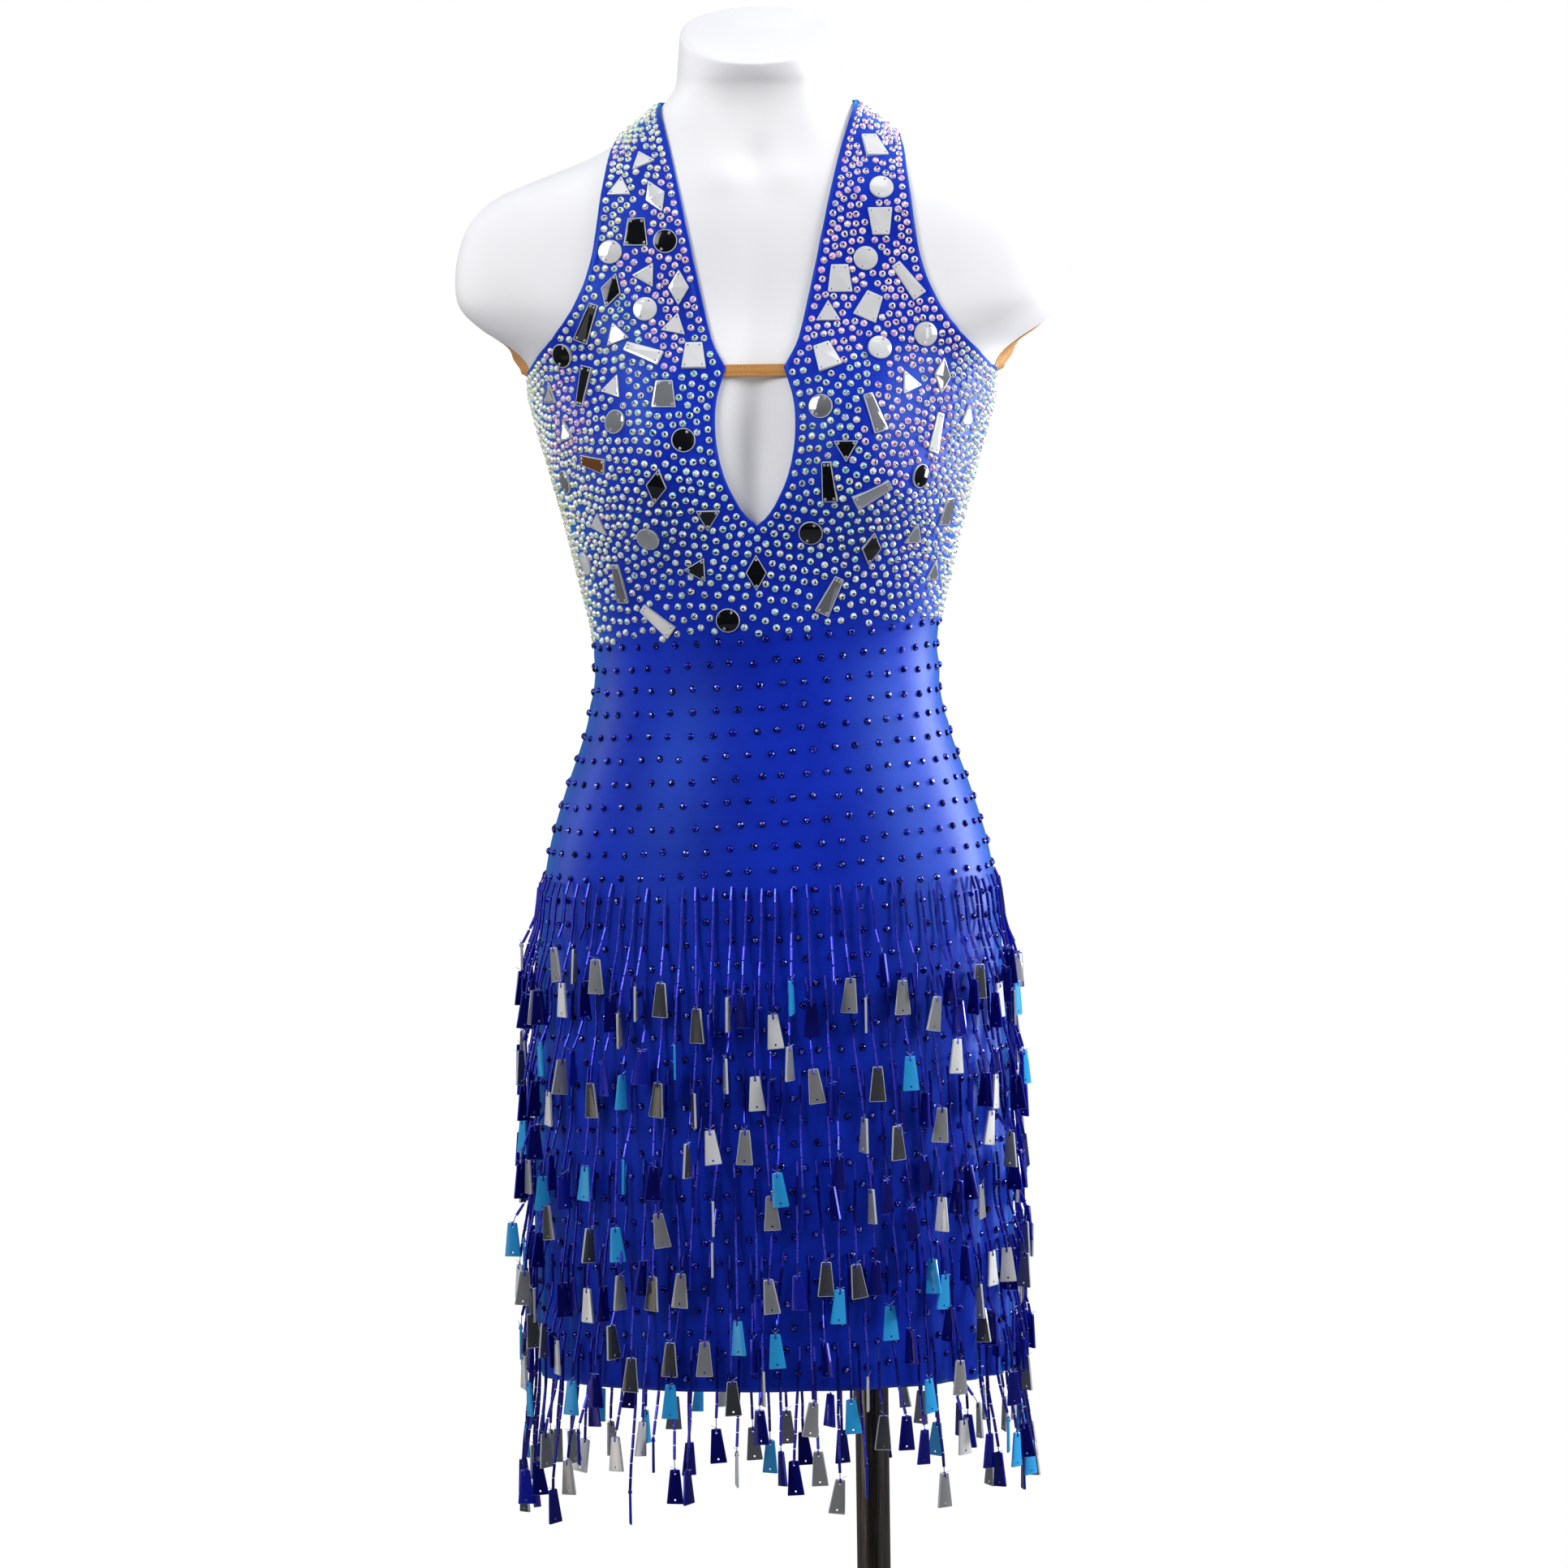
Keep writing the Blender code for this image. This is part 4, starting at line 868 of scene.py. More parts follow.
# Sew-on mirrors of the bodice, viewer's left and right: millimetres across and up, degrees turned,
# and the shade of room that each one throws back, painted into its face colour as a painted reflection
Mirror = namedtuple("Mirror", "shape across height turn shade")
mirrors = [Mirror(*row) for row in (
    ("triangle", -74, 1398, -90, "pale"), ("triangle", -89, 1380, 0, "pale"), ("rhombus", -66, 1375, 25, "pale"),
    ("short", -79, 1352, 0, "black"), ("circle", -60, 1346, 0, "black"), ("circle", -96, 1339, 0, "pale"),
    ("triangle", -73, 1324, 90, "pale"), ("rhombus", -96, 1314, -15, "black"), ("rhombus", -52, 1316, 0, "pale"),
    ("long", -112, 1293, -20, "black"), ("circle", -74, 1302, 0, "pale"), ("triangle", -93, 1285, 20, "grey"),
    ("triangle", -55, 1291, -12, "pale"), ("circle", -128, 1272, 0, "black"), ("long", -76, 1274, 70, "pale"),
    ("short", -43, 1272, 0, "pale"), ("long", -115, 1252, 170, "black"), ("triangle", -96, 1251, -15, "pale"),
    ("triangle", -137, 1246, 0, "black"), ("short", -63, 1247, 0, "grey"), ("triangle", -127, 1222, 10, "grey"),
    ("circle", -95, 1229, 0, "grey"), ("circle", -51, 1217, 0, "black"), ("long", -110, 1202, 80, "brown"),
    ("circle", -128, 1190, 0, "grey"), ("rhombus", -69, 1187, -10, "black"), ("triangle", -36, 1167, 180, "black"),
    ("triangle", -107, 1162, -20, "pale"), ("circle", -75, 1153, 0, "grey"), ("circle", -116, 1137, 0, "pale"),
    ("triangle", -43, 1133, 90, "black"), ("long", -94, 1124, 0, "grey"), ("rhombus", -5, 1131, 0, "black"),
    ("long", -70, 1100, 50, "pale"), ("circle", -24, 1100, 0, "black"),
    ("short", 76, 1408, 0, "pale"), ("circle", 81, 1381, 0, "pale"), ("short", 80, 1359, 180, "pale"),
    ("circle", 70, 1335, 0, "pale"), ("short", 53, 1322, 0, "pale"), ("long", 97, 1321, 35, "pale"),
    ("short", 72, 1304, -25, "pale"), ("triangle", 45, 1299, 0, "pale"), ("circle", 108, 1286, 0, "pale"),
    ("circle", 78, 1277, 0, "pale"), ("short", 43, 1272, 20, "pale"), ("rhombus", 118, 1259, -10, "grey"),
    ("triangle", 97, 1254, 20, "pale"), ("circle", 39, 1239, 0, "grey"), ("long", 74, 1235, 15, "grey"),
    ("triangle", 134, 1232, 0, "grey"), ("long", 114, 1222, -15, "pale"), ("triangle", 55, 1212, 180, "black"),
    ("long", 43, 1190, 2, "black"), ("circle", 103, 1194, 0, "black"), ("long", 72, 1182, -60, "grey"),
    ("short", 120, 1171, 0, "grey"), ("circle", 31, 1157, 0, "black"), ("triangle", 98, 1155, 0, "grey"),
    ("rhombus", 70, 1147, 0, "black"), ("triangle", 110, 1131, 0, "grey"), ("long", 43, 1116, -25, "grey"),
)]
mirrorSize = {"circle": 7.75 * mm, "rhombus": (13.5 * mm, 23.5 * mm), "triangle": 15.8 * mm,
              "short": (10.8 * mm, 15.8 * mm, 18.0 * mm), "long": (6.2 * mm, 10.0 * mm, 26.0 * mm),
              "proud": 1.2 * mm, "bedded": 0.5 * mm, "rim": 0.5 * mm, "rimDrop": 0.25 * mm,
              "hole": 0.5 * mm, "holeIn": 2.0 * mm, "eyelet": 0.85 * mm}


def mirrorOutline(shape):  # corners anticlockwise, narrow end up
    if shape == "circle":
        angles = [2 * math.pi * k / 28 for k in range(28)]
        return [(mirrorSize["circle"] * math.cos(a), mirrorSize["circle"] * math.sin(a)) for a in angles]
    if shape == "rhombus":
        width, height = mirrorSize["rhombus"]
        return [(width / 2, 0), (0, height / 2), (-width / 2, 0), (0, -height / 2)]
    if shape == "triangle":
        reach = mirrorSize["triangle"] / math.sqrt(3)
        return [(reach * math.cos(a), reach * math.sin(a)) for a in (math.radians(90 + 120 * k) for k in range(3))]
    top, bottom, height = mirrorSize[shape]
    return [(bottom / 2, -height / 2), (top / 2, height / 2), (-top / 2, height / 2), (-bottom / 2, -height / 2)]


def mirrorHoles(shape, corners):
    inset = mirrorSize["holeIn"]
    if shape == "circle":
        return [(math.cos(a) * (mirrorSize["circle"] - inset), math.sin(a) * (mirrorSize["circle"] - inset))
                for a in (math.radians(65), math.radians(245))]
    drawn = insetCorners(corners, inset * (0.8 if shape in ("rhombus", "triangle") else 1.0))
    return [drawn[1], drawn[3]] if shape == "rhombus" else drawn


def insetCorners(corners, inset):  # a convex outline with each side moved in
    result = []
    for k in range(len(corners)):
        before, here, after = (Vector(corners[(k + j) % len(corners)]) for j in (-1, 0, 1))
        first, second = (here - before).normalized(), (after - here).normalized()
        normals = Vector((-first.y, first.x)), Vector((-second.y, second.x))
        result.append(tuple(here + (normals[0] + normals[1]) * inset / (1 + normals[0].dot(normals[1]))))
    return result


def roundCorners(corners, cut):
    if len(corners) > 6:
        return corners
    points = []
    for k in range(len(corners)):
        before, here, after = (Vector(corners[(k + j) % len(corners)]) for j in (-1, 0, 1))
        start, end = here + (before - here).normalized() * cut, here + (after - here).normalized() * cut
        for u in (0, 1 / 3, 2 / 3, 1):
            points.append(tuple(start * (1 - u) ** 2 + here * 2 * u * (1 - u) + end * u * u))
    return points


# A closed plate with a sloped rim and drilled holes. Slots: 0 front, 1 rim, 2 back
def plateShape(corners, holes, holeRadius, thickness, rim, rimDrop, bottom=0.0, cut=0.7 * mm):
    outer = roundCorners(corners, cut)
    inner = roundCorners(insetCorners(corners, rim), cut * 0.6)
    count, holeSides = len(outer), 8
    rings = [[(x + holeRadius * math.cos(a), y + holeRadius * math.sin(a))
              for a in (-2 * math.pi * k / holeSides for k in range(holeSides))] for x, y in holes]
    flat = [p for ring in rings for p in ring]
    points = ([(x, y, thickness) for x, y in inner] + [(x, y, thickness) for x, y in flat]
              + [(x, y, thickness - rimDrop) for x, y in outer]
              + [(x, y, bottom) for x, y in outer] + [(x, y, bottom) for x, y in flat])
    edge, base = count + len(flat), 2 * count + len(flat)
    polygon = [[Vector((x, y, 0)) for x, y in ring] for ring in [inner] + rings]
    joined = [p for ring in polygon for p in ring]
    faces, slots = [], []

    def facing(a, b, c):
        return (joined[b] - joined[a]).cross(joined[c] - joined[a]).z > 0

    for triple in tessellate_polygon(polygon):
        a, b, c = triple if facing(*triple) else triple[::-1]
        faces += [(a, b, c), tuple(corner + base for corner in (c, b, a))]
        slots += [0, 2]
    for k in range(count):
        after = (k + 1) % count
        faces += [(k, k + edge, after + edge, after)[::-1], (k + edge, k + base, after + base, after + edge)[::-1]]
        slots += [1, 1]
    for h in range(len(holes)):
        for k in range(holeSides):
            top = count + h * holeSides + k
            topNext = count + h * holeSides + (k + 1) % holeSides
            faces.append((top, top + base, topNext + base, topNext)[::-1])
            slots.append(1)
    faces = [face[::-1] if slots[k] == 1 else face for k, face in enumerate(faces)]
    return Shape(np.array(points), faces, slots, [False] * len(faces))


# Mirrored acrylic: laser-cut sheet, silvered behind. The face is bright and a little wavy, and the
# cut rim is clear. The colour brightens and darkens along the same waves as the bump: a painted reflection
# on mirrored faces, uneven tone on the backing paint and the rim
def makeMirror(name, hexText, metallic=0.6, roughness=0.06, wave=0.05):
    sheet = {"wave": 14 * mm, "smear": 5 * mm}
    material, tree, shader = newMaterial(name, {"Metallic": metallic})
    place = addNode(tree, "TexCoord")
    waves = addNode(tree, "TexNoise", {"Scale": 1 / sheet["wave"], "Detail": 1.0}, {"Vector": (place, "Object")})
    smears = addNode(tree, "TexNoise", {"Scale": 1 / sheet["smear"], "Detail": 4.0}, {"Vector": (place, "Object")})
    base = linearColour(hexText)
    tone = addNode(tree, "HueSaturation", {"Color": base})
    # brighter and darker along the waves: painted reflection on the mirrored faces
    value = addNode(tree, "MapRange", {"To Min": 0.86, "To Max": 1.06}, {"Value": (waves, "Fac")})
    tree.links.new(value.outputs["Result"], tone.inputs["Value"])
    rough = addNode(tree, "MapRange", {"To Min": roughness * 0.6, "To Max": roughness * 1.6},
                    {"Value": (smears, "Fac")})
    bump = addNode(tree, "Bump", {"Strength": wave, "Distance": 1 * mm}, {"Height": (waves, "Fac")})
    joinShader(tree, shader, {"Base Color": (tone, "Color"), "Roughness": (rough, "Result"),
                              "Normal": (bump, "Normal")})
    return material


# Face colours of the bodice mirrors, all one silvered acrylic: painted reflections of pale, grey, black and brown parts
# of the room
mirrorReflectionShades = (("pale", "#E6E7E8"), ("grey", "#989B9F"), ("black", "#1D1F22"), ("brown", "#8A5A2C"))
acrylicRim = makeMirror("clearAcrylicEdge", "#C6CACE", 0.0, 0.12)
backPaint = makeMirror("greyBackingPaint", "#74777C", 0.0, 0.38)
threadBlue = makeThread("navyThread", "#10156A", "#2330A0")


def eyeletShape():  # a raised ring round each hole; it takes the pale mirror colour on every mirror, a painted highlight
    angles = 2 * math.pi * np.arange(10) / 10
    rings = [np.stack([r * np.cos(angles), r * np.sin(angles), np.full(10, z)], -1)
             for r, z in ((mirrorSize["eyelet"], -0.02 * mm), (mirrorSize["eyelet"] * 0.8, 0.12 * mm),
                          (mirrorSize["hole"], 0.02 * mm))]
    return gridShape(np.array(rings), 0, closed=True)


eyelet = eyeletShape()


def makeMirrors():
    # each mirror's face takes its painted reflection colour
    faces = [makeMirror("paintedReflectionMirror" + shade.capitalize(), tint, 0.2 if shade == "pale" else 0.6)
             for shade, tint in mirrorReflectionShades]
    order = [shade for shade, _ in mirrorReflectionShades]
    cloth = BVHTree.FromObject(frontCloth, bpy.context.evaluated_depsgraph_get())
    reach = 6 * mm
    shapes, centres = [], []
    for mirror in mirrors:
        turn, height = placeSeen(mirror.across * mm, mirror.height * mm)
        normal = bodyNormal(turn, height)
        centre = clothPoint(turn, height)
        right = np.cross((0, 0, 1), normal)
        right /= np.linalg.norm(right)
        above = np.cross(normal, right)
        angle = math.radians(mirror.turn)
        basis = np.array([right * math.cos(angle) + above * math.sin(angle),
                          above * math.cos(angle) - right * math.sin(angle), normal])
        corners = mirrorOutline(mirror.shape)
        probes = [(0, 0)] + corners + [(x / 2, y / 2) for x, y in corners]
        rises = []
        for x, y in probes:
            place = centre + basis[0] * x + basis[1] * y
            hit = cloth.ray_cast(Vector(place + normal * reach), Vector(-normal), 2 * reach)[0]
            if hit is not None:
                rises.append(float(np.dot(np.array(hit) - centre, normal)))
        highest = max(rises)
        holes = mirrorHoles(mirror.shape, corners)
        plate = plateShape(corners, holes, mirrorSize["hole"], highest + mirrorSize["proud"], mirrorSize["rim"],
                           mirrorSize["rimDrop"], min(min(rises), highest - mirrorSize["bedded"]) - 0.1 * mm)
        front = order.index(mirror.shade)
        shapes.append(moved(plate, centre, basis, slotChange={0: front, 1: 4, 2: 5}))
        for x, y in holes:  # a stitch across each hole
            foot = centre + basis[0] * x + basis[1] * y + normal * (highest + mirrorSize["proud"] - 0.5 * mm)
            out = np.array((x, y)) / math.hypot(x, y) * mirrorSize["hole"] * 1.3
            side = basis[0] * out[0] + basis[1] * out[1]
            shapes.append(tubeShape([foot - side, foot + side], 0.22 * mm, 5, 6))
            top = centre + basis[0] * x + basis[1] * y + normal * (highest + mirrorSize["proud"])
            # the ring keeps the pale face colour: a painted highlight
            shapes.append(moved(eyelet, top, basis))
        centres.append((centre, max(math.hypot(x, y) for x, y in corners), corners, basis))
    piece = joinedMesh("bodice_mirror_plates", shapes, faces + [acrylicRim, backPaint, threadBlue])
    finishPiece(piece, "mirror_acrylic")
    return centres


print("bodice mirrors")
mirrorPlaces = makeMirrors()


def clearOfMirrors(points, room):
    keep = np.ones(len(points), bool)
    for centre, reach, corners, basis in mirrorPlaces:
        local = (points - centre) @ basis.T
        near = (np.hypot(local[:, 0], local[:, 1]) < reach + room) & (np.abs(local[:, 2]) < 0.03)
        inside = np.ones(len(points), bool)
        for k in range(len(corners)):
            a, b = np.array(corners[k]), np.array(corners[(k + 1) % len(corners)])
            side = (b - a) / np.linalg.norm(b - a)
            off = (local[:, 0] - a[0]) * side[1] - (local[:, 1] - a[1]) * side[0]  # outside is positive
            inside &= off < room
        keep &= ~(near & inside)
    return keep


def clearStonePlaces():  # closest to the edges first, so that rows follow the edges
    step = stones["candidateStep"]
    turns, heights, edges, lifts = [], [], [], []
    frontTurn, frontHeight = frontGrid(step, 150)
    backTurn, backHeight = backGrid(step, 170)
    for side in (1, -1):
        for turn, height in ((frontTurn, frontHeight), (backTurn, backHeight)):
            across = bodyPoint(side * turn, height)[..., 0]
            band = (height > stones["lowest"] + stones["darkTilt"] * across) & (height < 1.45)
            turns.append(side * turn[band])
            heights.append(height[band])
    turns, heights = np.concatenate(turns), np.concatenate(heights)
    base = bodyPoint(turns, heights)
    openEdges = edgeTree([innerEdge, armhole, backLine])
    distance = edgeDistance(openEdges, base)
    points = clothPoint(turns, heights)
    keep = (distance > stones["edgeRoom"]) & clearOfMirrors(points, stones["mirrorRoom"])
    turns, heights, points, distance = turns[keep], heights[keep], points[keep], distance[keep]
    ring = np.floor((distance - stones["edgeRoom"]) / stones["clearPitch"] * 1.04)
    within = distance - stones["edgeRoom"] - ring * stones["clearPitch"] / 1.04
    sweep = heights + 0.35 * np.sign(turns) * np.abs(turns) * 0.01
    order = np.lexsort((sweep, np.round(within / (0.9 * mm)), ring))
    low = 1 - eased((heights - 1.10) / 0.05)  # looser rows towards the waist, looser in the middle than at the sides
    middle = 0.17 * (1 - eased((np.abs(turns) - 0.5) / 0.5)) * (1 - eased((heights - 1.25) / 0.05))
    pitches = stones["clearPitch"] * (1 + middle) + (stones["loosePitch"] - stones["clearPitch"]) * low ** 1.5
    kept = spreadOut(points, order.tolist(), pitches)
    return turns[kept], heights[kept]


def makeClearStones(rng):
    turns, heights = clearStonePlaces()
    bandRows, bandColumns = np.linspace(0.26, 0.74, 3), np.linspace(92, 180, 40)
    bandTurn, bandHeight = [], []
    for row, share in enumerate(bandRows):
        degrees = bandColumns[:-1] + (row % 2) * np.diff(bandColumns) / 2
        low = np.interp(degrees, [r.degrees for r in neckBand], [r.low for r in neckBand])
        high = np.interp(degrees, [r.degrees for r in neckBand], [r.high for r in neckBand])
        bandTurn.append(np.radians(degrees))
        bandHeight.append(low + (high - low) * share)
    bandTurn, bandHeight = np.concatenate(bandTurn), np.concatenate(bandHeight)
    bandTurn = np.concatenate([bandTurn, -bandTurn])
    bandHeight = np.concatenate([bandHeight, bandHeight])
    bandPoints = clothPoint(bandTurn, bandHeight, bandLift)
    keptBand = spreadOut(bandPoints, range(len(bandPoints)), [stones["clearPitch"]] * len(bandPoints))
    count = len(turns)
    turns = turns + rng.normal(0, stones["jitter"], count) / 0.1
    heights = heights + rng.normal(0, stones["jitter"], count)
    centres = np.concatenate([clothPoint(turns, heights), bandPoints[keptBand]])
    normals = np.concatenate([bodyNormal(turns, heights), bodyNormal(bandTurn[keptBand], bandHeight[keptBand])])
    paintedGlints = []
    # Painted glints: each stone's tint mix follows which way it faces and how high it sits, with slow noise: warm
    # facing the viewer's left, rosy high up, darkest facing straight ahead or back, cool elsewhere
    for centre, normal in zip(centres, normals):  # glints change slowly over the bodice
        shift = noise.noise(Vector(centre * 14)) * 0.9
        if normal[0] + shift < -0.45:
            paintedGlints.append(0)
        elif shift + (centre[2] - 1.26) * 4 > 0.1:
            paintedGlints.append(1)
        else:
            paintedGlints.append(3 if abs(normal[0]) < 0.35 else 2)
    tints = [makeFacetGlass("coatedCrystal" + name, tint) for name, tint in clearTints]
    stone = stoneShape(stones["clearRadius"], stones["clearHeight"])
    front = centres[:, 1] < 0
    for name, part in (("front_crystals", front), ("back_crystals", ~front)):
        weights = paintedGlintMixes[np.array(paintedGlints)[part]]
        stoneField(name, stone, centres[part], normals[part], weights, clearParts, tints, rng, "cut_stones")
    print("clear stones:", len(centres))


def makeDarkStones(rng):  # rows tilt up to the viewer's right, all round the hips and the skirt
    turns, heights = [], []
    fine = np.linspace(-math.pi, math.pi, 721)
    for row in range(-4, 36):
        middle = stones["lowest"] - 4 * mm - row * stones["darkRow"]
        line = bodyPoint(fine, np.full(len(fine), max(middle, dress["hem"])))
        length = np.concatenate([[0], np.cumsum(np.linalg.norm(np.diff(line, axis=0), axis=1))])
        spots = np.arange((row % 2) * stones["darkPitch"] / 2, length[-1] - stones["darkPitch"] * 0.6,
                          stones["darkPitch"])
        turn = np.interp(spots, length, fine) + rng.normal(0, stones["darkJitter"], len(spots)) / 0.13
        tilt = stones["darkTilt"] * np.interp(spots, length, line[:, 0])
        height = middle + tilt
        height = height + rng.normal(0, stones["darkJitter"] * 0.6, len(spots))
        keep = (height > dress["hem"] + 6 * mm) & (height < stones["lowest"] + tilt - 2.5 * mm)
        turns.append(turn[keep])
        heights.append(height[keep])
    turns, heights = np.concatenate(turns), np.concatenate(heights)
    centres = clothPoint(turns, heights)
    tints = [makeFacetGlass("sapphireGlass" + name, tint, 0.9, 0.16, 0.0) for name, tint in darkTints]
    stone = stoneShape(stones["darkRadius"], stones["darkHeight"])
    weights = np.broadcast_to(darkMood, (len(centres), len(darkMood)))
    stoneField("skirt_sapphires", stone, centres, bodyNormal(turns, heights), weights, darkParts, tints, rng,
               "cut_stones")
    print("dark stones:", len(centres))


print("cut stones")
stoneRandom = np.random.default_rng(stones["seed"])
makeClearStones(stoneRandom)
makeDarkStones(stoneRandom)


# Bead fringe
fringe = {
    "top": 0.9340, "pitch": 0.0588, "strings": (88, 80, 78, 77, 76, 75), "rootScatter": 1.8 * mm,
    "bead": 8.9 * mm, "beadPitch": 9.25 * mm, "beadRadius": 0.95 * mm, "threadRadius": 0.28 * mm,
    "length": (0.043, 0.088), "lastLength": (0.052, 0.104), "restLift": 1.3 * mm, "hangLift": 3.3 * mm,
    "tileLift": 5.6 * mm, "tileSwing": 5.2 * mm, "lean": 0.12 * mm, "seed": 5,
}
tile = {"height": 22.3 * mm, "top": 6.2 * mm, "bottom": 11.0 * mm, "thickness": 1.4 * mm, "rim": 0.35 * mm,
        "rimDrop": 0.2 * mm, "hole": 0.75 * mm, "holeIn": 2.6 * mm}
# Material slots of the face, the sloped rim and the back for each finish
# Navy tiles take the royal blue on their rim: a painted highlight along the cut edge
# Pale, grey and dark are one silver mirror acrylic: their face tones are painted reflections of the room
finishes = {"pale": (1, 7, 8), "grey": (2, 7, 8), "dark": (3, 7, 8), "sky": (4, 4, 4), "royal": (5, 5, 5),
            "navy": (6, 5, 6)}

# Tiles that the photo shows best: finish, and pixels of their centre in the 1932 pixel frame
# Pale, grey and dark among these are painted reflection tones on silver mirror tiles
NotedTile = namedtuple("NotedTile", "finish pixelX pixelY")
notedTiles = [NotedTile(finish, x, y) for finish, places in (
    ("pale", ((657, 1186), (707, 1229), (950, 1264), (1213, 1232), (682, 1366), (929, 1342), (1175, 1298),
              (1214, 1345), (874, 1407), (1217, 1390), (724, 1610), (1218, 1560), (689, 1676), (649, 1693),
              (757, 1791), (1185, 1770))),
    ("paleEdge", ((773, 1265), (1229, 1413), (1247, 1567), (792, 1770), (1198, 1750), (1152, 1494))),
    ("grey", ((695, 1189), (741, 1203), (1043, 1223), (1103, 1228), (1142, 1245), (1001, 1337), (917, 1415),
              (1148, 1380), (658, 1452), (949, 1493), (1198, 1476), (810, 1515), (838, 1592), (945, 1594),
              (866, 1676), (1179, 1694), (1000, 1747), (696, 1822), (1007, 1807), (1033, 1846), (1160, 1838))),
    ("greyEdge", ((893, 1320), (1060, 1392), (877, 1499), (767, 1588), (1068, 1480), (1192, 1600))),
    ("dark", ((819, 1227), (862, 1259), (1189, 1208), (735, 1350), (813, 1349), (1078, 1330), (1099, 1404),
              (678, 1506), (661, 1607), (805, 1594), (1017, 1576), (1053, 1574), (779, 1692), (825, 1675),
              (900, 1721), (1088, 1764))),
    ("darkEdge", ((849, 1426), (733, 1530), (1160, 1325))),
    ("sky", ((674, 1304), (1116, 1323), (727, 1455), (956, 1463), (912, 1505), (762, 1531), (1032, 1604),
             (1157, 1591), (1096, 1630), (631, 1661), (907, 1645), (954, 1666), (1095, 1700), (1138, 1721),
             (1046, 1743), (1232, 1772), (1241, 1786), (654, 1726), (702, 1725), (822, 1728), (985, 1723))),
    ("skyEdge", ((972, 1222), (837, 1300), (773, 1343), (773, 1447), (638, 1527))),
    ("royal", ((794, 1316), (745, 1325), (981, 1592))),
    ("navy", ((913, 1240), (808, 1457), (1120, 1503), (738, 1714), (1237, 1712), (717, 1787), (831, 1833),
              (935, 1761), (976, 1819), (1118, 1766), (1136, 1785), (1214, 1790), (1031, 1445), (729, 1739))),
    ("navyEdge", ((1064, 1822), (1022, 1225), (987, 1490), (883, 1715))),
) for x, y in places]


def tileCorners():
    top, bottom, half = tile["top"] / 2, tile["bottom"] / 2, tile["height"] / 2
    return [(bottom, -half), (top, half), (-top, half), (-bottom, -half)]


tileHoleDrop = tile["height"] / 2 - tile["holeIn"]
tileShape = plateShape(tileCorners(), [(0, tileHoleDrop), (0, -tileHoleDrop)], tile["hole"], tile["thickness"],
                       tile["rim"], tile["rimDrop"])
beadShape = tubeShape([(0, 0, 0), (0, 0, fringe["bead"])], fringe["beadRadius"], 8, 0)


def planStrings(rng):  # every string's row, turn, length, tile finish and tile yaw
    plan = []
    for row, count in enumerate(fringe["strings"]):
        low, high = fringe["lastLength"] if row == len(fringe["strings"]) - 1 else fringe["length"]
        for k in range(count):
            turn = 2 * math.pi * (k + 0.5 * (row % 2) + rng.uniform(-0.25, 0.25)) / count
            turn = (turn + math.pi) % (2 * math.pi) - math.pi
            noticed = abs(turn) < 1.35  # there the photo's own tiles are set below, and the rest hang back
            chances = (0.02, 0.06, 0.12, 0.05, 0.05, 0.70) if noticed else (0.14, 0.24, 0.14, 0.16, 0.08, 0.24)
            finish = rng.choices(list(finishes), chances)[0]
            yaw = rng.gauss(0, 24)
            if noticed and (finish != "navy" or rng.random() < 0.75):
                yaw = rng.choice((-1, 1)) * rng.uniform(58, 86)
            elif rng.random() < 0.2:
                yaw += 180
            plan.append({"row": row, "turn": turn, "length": rng.uniform(low, high), "finish": finish, "yaw": yaw,
                         "sway": rng.gauss(0, 1.2 * mm), "noted": False})
    for string in plan:
        string["root"] = bodyPoint(string["turn"], fringe["top"] - fringe["pitch"] * string["row"], -9 * mm)
    for noted in notedTiles:
        best = None
        for string in plan:
            pixelX, pixelY = seenAt(string["root"])
            off = (pixelX - noted.pixelX) * photo["metresPerPixel"]
            drop = (noted.pixelY - pixelY) * photo["metresPerPixel"] - tileHoleDrop
            if string["noted"] or abs(string["turn"]) > 1.62 or not 0.035 < drop < 0.112:
                continue
            cost = abs(off) + 0.12 * abs(drop - 0.065)
            if abs(off) < 0.011 and (best is None or cost < best[0]):
                best = (cost, string, drop, off)
        if best is None:
            continue
        _, string, drop, off = best
        edgeOn = noted.finish.endswith("Edge")
        string.update(noted=True, length=drop, finish=noted.finish.replace("Edge", ""), sway=-off * 0.85)
        string["yaw"] = rng.choice((-1, 1)) * rng.uniform(68, 80) if edgeOn else rng.gauss(0, 14)
    return plan


def stringPath(string, drops):  # points down one string: off the cloth, over the stones, out to the tile
    top = fringe["top"] - fringe["pitch"] * string["row"] + string["rootShift"]
    length = string["length"]
    drops = np.asarray(drops, float)
    along = np.clip(drops / length, 0, 1)
    ease = np.clip(drops / (7 * mm), 0, 1)
    far = np.clip((drops - 28 * mm) / max(length - 28 * mm, 1 * mm), 0, 1)
    lift = fringe["restLift"] + (fringe["hangLift"] - fringe["restLift"]) * ease
    lift = lift + (string["endLift"] - fringe["hangLift"]) * far * far * (3 - 2 * far)
    turn = string["turn"] + string["sway"] * along / 0.15
    points = bodyPoint(turn, top - drops) + bodyNormal(turn, top - drops) * (outerLift + lift)[..., None]
    points[..., 2] = top - drops
    return points


